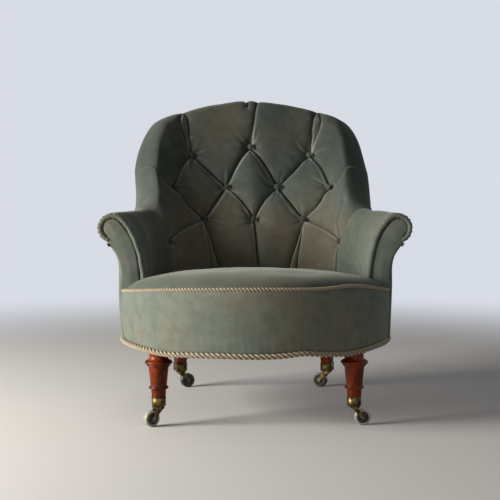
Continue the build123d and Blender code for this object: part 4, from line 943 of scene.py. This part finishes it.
def turning():
    """Outline of the turned leg: reach over height, with half rounds, a cove and tapers."""
    parts = [((FRONT_FOOT, CUP_FLOOR + 0.5), (FRONT_FOOT, CUP_TOP + 0.3), (16.4, CUP_TOP + 1.0),
              (16.9, 76), (17.3, 84), (18.4, 86)),
             arc((19.6, 89.8), 3.4, -90, 90, 9),
             ((19.4, 94.5), (19.2, 97), (20.4, 110), (22.0, 125), (23.6, 139.5)),
             ((27.2, 140.6), (27.8, 142.2), (27.0, 144.0)),
             arc((28.4, 148.6), (3.8, 3.9), -90, 90, 9),
             arc((27.8, 164.1), (6.2, 10.5), -90, -180, 9),
             ((21.6, 168), (24.5, 170.5), (24.5, 176), (24.0, 178), (13.0, 178), (13.0, RAIL_BOTTOM))]
    return np.concatenate([np.array(part, float) for part in parts])


def carried(outline, centre, points, power=None, square_from=0, turn=0.0):
    """Outline of (reach, height) round an upright axis: a circle, or |cos|^p + |sin|^p = 1."""
    a = whole_turn(points)
    reach, height = outline[..., :1], outline[..., 1:]
    squared = 1 if power is None else (np.abs(np.cos(a)) ** power + np.abs(np.sin(a)) ** power) \
        ** (-1 / power)
    size = reach * np.where(reach > square_from, squared, 1)
    return points_at(centre[0] + size * np.cos(a + turn), centre[1] + size * np.sin(a + turn), height)


drop = np.concatenate([np.linspace(0, 1, 26), [1.0, 1.0]])[:, None]
rear_z = np.concatenate([np.linspace(RAIL_BOTTOM, CUP_TOP, 26), [CUP_TOP - 6, CUP_FLOOR + 0.5]])
rear_half = (REAR_TOP + (REAR_FOOT - REAR_TOP) * drop) / 2
# Sabre leg: rounded squares whose centre moves out and back as the drop to a power.
rear_path = REAR_X + REAR_SPLAY * drop ** REAR_BEND, rear_y + REAR_RAKE * drop ** REAR_BEND
rear_rings = carried(np.hstack([rear_half, rear_z[:, None]]), rear_path, 48, power=12,
                     turn=-REAR_TURN)
for side, hand in SIDES:
    loft(f"turned_leg_{hand}", carried(turning(), (side * leg_x, leg_y), 56), mahogany,
         "mahogany", "front_legs", sharp=50)
for side, hand in SIDES:
    loft(f"sabre_leg_{hand}", rear_rings * [side, 1, 1], mahogany, "mahogany", "rear_legs",
         sharp=40)


# ---- Castors ----
# Cast brass cups, round in front and square behind, screwed over the feet of the legs. Brass horns
# swivel in them on a riveted pin, and hold a stoneware wheel on a steel axle.
WHEEL_RADIUS, WHEEL_WIDTH, WHEEL_BORE, WHEEL_ROUND = 19, 15, 2.46, 3
CUP_WALL, PIN_HOLE, CUP_ROUND, CUP_ROOM = 1.6, 3.6, 1.4, 0.05


def brass_finish(name, dark, light):
    """Brass: dull gold under brown patches 5 to 10 mm wide, rougher where they are."""
    made, tree, shader, place = new_finish(name, Metallic=1.0, Roughness=0.36)
    patches = add(tree, "TexNoise", {"Vector": place, "Scale": 90.0, "Detail": 5.0})
    level = add(tree, "MapRange", {"Value": patches, "From Min": 0.38, "From Max": 0.62})
    shade = add(tree, "Mix", {0: level, 6: dark, 7: light}, data_type="RGBA")
    rough = add(tree, "MapRange", {"Value": patches, "To Min": 0.5, "To Max": 0.25})
    bump = add(tree, "Bump", {"Height": patches, "Distance": 0.0003, "Strength": 0.4})
    feed(tree, shader, {"Base Color": shade, "Roughness": rough, "Normal": bump})
    return made


def stoneware_finish(name, soiled, glazed):
    """Stoneware: glazed and specked with dirt round the tread, with painted shade inside it, brassy at the
    hub.
    """
    made, tree, shader, place = new_finish(name, Roughness=0.28, IOR=1.52)
    size = add(tree, "Attribute", out="Fac", attribute_name="reach")
    specks = add(tree, "TexNoise", {"Vector": place, "Scale": 220.0, "Detail": 3.0})
    ring = add(tree, "MapRange", {"Value": size, "From Min": 13.4, "From Max": 14.2})
    hub = add(tree, "MapRange", {"Value": size, "From Min": 5.2, "From Max": 4.8})
    cream = add(tree, "Mix", {0: specks, 6: soiled, 7: glazed}, data_type="RGBA")
    # Painted shade: near-black over the wheel's face inside its tread.
    banded = add(tree, "Mix", {0: ring, 6: "#191611", 7: cream}, data_type="RGBA")
    whole = add(tree, "Mix", {0: hub, 6: banded, 7: "#5a4a2a"}, data_type="RGBA")
    feed(tree, shader, {"Base Color": whole})
    return made


def pin_finish(name, colour):
    """Steel: an even grey whose roughness varies over scratches a few millimetres long."""
    made, tree, shader, place = new_finish(name, Metallic=1.0, Roughness=0.4, Base_Color=colour)
    scratches = add(tree, "TexNoise", {"Vector": place, "Scale": 400.0, "Detail": 3.0})
    rough = add(tree, "MapRange", {"Value": scratches, "To Min": 0.25, "To Max": 0.55})
    feed(tree, shader, {"Roughness": rough})
    return made


# Cast brass, once lacquered and now tarnished: dull gold where it is handled, brown elsewhere.
brass = brass_finish("aged_cast_brass", "#2c2416", "#6e5c36")
# Glazed stoneware, turned and fired: glossy cream in front, dark brown behind, with painted shade over
# each wheel's face inside its tread.
stoneware = {"front": stoneware_finish("cream_glazed_stoneware", "#6d6d5c", "#a19f88"),
             "rear": stoneware_finish("dark_glazed_stoneware", "#211d17", "#3d382d")}
# Turned steel pins: bright grey once, scratched and dulled by dust and oil.
steel = pin_finish("worn_steel_pin", "#6d6a64")

# Wheel: half a section, from bore over the hollowed face to the tread, mirrored to a closed line.
edge = WHEEL_WIDTH / 2
half_section = np.concatenate([[(edge - 0.6, WHEEL_BORE), (edge, 5.2), (edge - 1.6, 6.2),
                                (edge - 1.6, 10.6), (edge - 0.2, 12.0)],
                               arc((edge - WHEEL_ROUND, WHEEL_RADIUS - WHEEL_ROUND), WHEEL_ROUND,
                                   0, 90, 6)])
section = np.concatenate([half_section, half_section[::-1] * [-1, 1]])
spin = whole_turn(72)[:, None, None]
for corner in ("front_left", "front_right", "rear_left", "rear_right"):
    end, hand = corner.split("_")
    side = 1 if hand == "right" else -1
    if end == "front":
        spot, foot, shape = (side * leg_x, leg_y), FRONT_FOOT, {}
    else:
        spot, foot = (side * (REAR_X + REAR_SPLAY), rear_y + REAR_RAKE), REAR_FOOT / 2
        shape = {"power": 10, "square_from": 9, "turn": -side * REAR_TURN}
    inner = foot + CUP_ROOM
    wall = inner + CUP_WALL
    cup = np.concatenate([[(PIN_HOLE, CUP_BOTTOM), (wall - 3, CUP_BOTTOM), (wall - 1, CUP_BOTTOM + 1),
                           (wall, CUP_BOTTOM + 3), (wall, CUP_TOP - 3.2)],
                          arc((wall - 0.4, CUP_TOP - CUP_ROUND), CUP_ROUND, -90, 90, 7),
                          [(inner, CUP_TOP), (inner, CUP_FLOOR), (PIN_HOLE, CUP_FLOOR)]])
    rings = carried(cup, spot, 64, **shape).transpose(1, 0, 2)
    loft(f"brass_cup_{corner}", rings, brass, "brass", "castor_cups", joined=True, sharp=45)
    low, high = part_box(f"castor_wheel_{corner}")
    hub = np.array((low + high) / 2) / MM
    along_trail = np.append((hub[:2] - spot) / np.linalg.norm(hub[:2] - spot), 0)
    axle_way = np.array([-along_trail[1], along_trail[0], 0])
    radial = np.cos(spin) * along_trail + np.sin(spin) * np.array([0, 0, 1.0])
    rings = hub + section[None, :, :1] * axle_way + section[None, :, 1:] * radial
    loft(f"china_wheel_{corner}", rings, stoneware[end], "ceramic", f"castor_wheel_{corner}",
         body=f"wheel_{corner}", joined=True, sharp=35, reach=section[:, 1])
    refinish(f"castor_horn_{corner}", brass)
    refinish(f"castor_axle_{corner}", steel)


# ---- Floor, light and camera ----
# A pale floor that fades into an even pale backdrop, a large soft window light from the left, a
# weak fill from the right, and the reflected light of a pale room.
BACKDROP, FLOOR, FADE_START, FADE_END, ROOM_LIGHT = "#d8dce5", 30.0, 1.1, 2.6, 0.16


def eye_or_gloss(tree):
    """1 for rays that the camera or a glossy surface sends out, else 0: the larger of the two."""
    ray = tree.nodes.new("ShaderNodeLightPath").outputs
    return add(tree, "Math", {0: ray["Is Camera Ray"], 1: ray["Is Glossy Ray"]},
               operation="MAXIMUM")


def floor_finish(name, colour):
    """Paint: diffuse near the chair, and for the eye alone the backdrop's colour far off."""
    made, tree, shader, place = new_finish(name, Roughness=0.85, Base_Color=colour)
    away = add(tree, "VectorMath", {0: place}, operation="LENGTH")
    far = add(tree, "MapRange", {"Value": away, "From Min": FADE_START, "From Max": FADE_END},
              interpolation_type="SMOOTHSTEP")
    share = add(tree, "Math", {0: far, 1: eye_or_gloss(tree)}, operation="MULTIPLY")
    backdrop = add(tree, "Emission", {"Color": BACKDROP})
    both = add(tree, "MixShader", {0: share, 1: shader.outputs[0], 2: backdrop})
    feed(tree, tree.nodes["Material Output"], {"Surface": both})
    return made


floor_mesh = bpy.data.meshes.new("floor")
floor_mesh.from_pydata([(-FLOOR, -FLOOR, 0), (FLOOR, -FLOOR, 0), (FLOOR, FLOOR, 0),
                        (-FLOOR, FLOOR, 0)], [], [(0, 1, 2, 3)])
# Painted boards, brushed: an even pale grey without gloss, on which only shadows show.
floor_mesh.materials.append(floor_finish("pale_painted_floor", "#cbc6bf"))
placed("floor", floor_mesh)

world = bpy.data.worlds.new("room")
bpy.context.scene.world = world
world.use_nodes = True
tree = world.node_tree
strength = add(tree, "MapRange", {"Value": eye_or_gloss(tree), "To Min": ROOM_LIGHT, "To Max": 1.0})
feed(tree, tree.nodes["Background"], {"Color": BACKDROP, "Strength": strength})


def soft_light(name, spot, target, width, power, tint):
    """Square area light that faces a point."""
    light = bpy.data.lights.new(name, "AREA")
    light.size, light.energy, light.color = width, power, linear(tint)[:3]
    way = np.array(target) - np.array(spot)
    way = way / np.linalg.norm(way)
    lamp = placed(name, light)
    lamp.location = spot
    lamp.rotation_euler = (np.arccos(-way[2]), 0, np.arctan2(way[1], way[0]) - np.pi / 2)


soft_light("window", (-2.7, -0.95, 0.95), (0, 0, 0.45), width=1.3, power=190, tint="#fdfdfb")
soft_light("fill", (0.6, -3.2, 1.3), (0, 0, 0.4), width=2.4, power=12, tint="#ffffff")

lens = bpy.data.cameras.new("camera")
lens.lens, lens.sensor_width = 89.28, 36
camera = placed("camera", lens)
camera.location = (-0.045, -3.0875, 0.62)
camera.rotation_euler = (np.radians(90 - 4.243), 0, np.radians(-0.6))
bpy.context.scene.camera = camera
bpy.context.scene.view_settings.view_transform = "Standard"
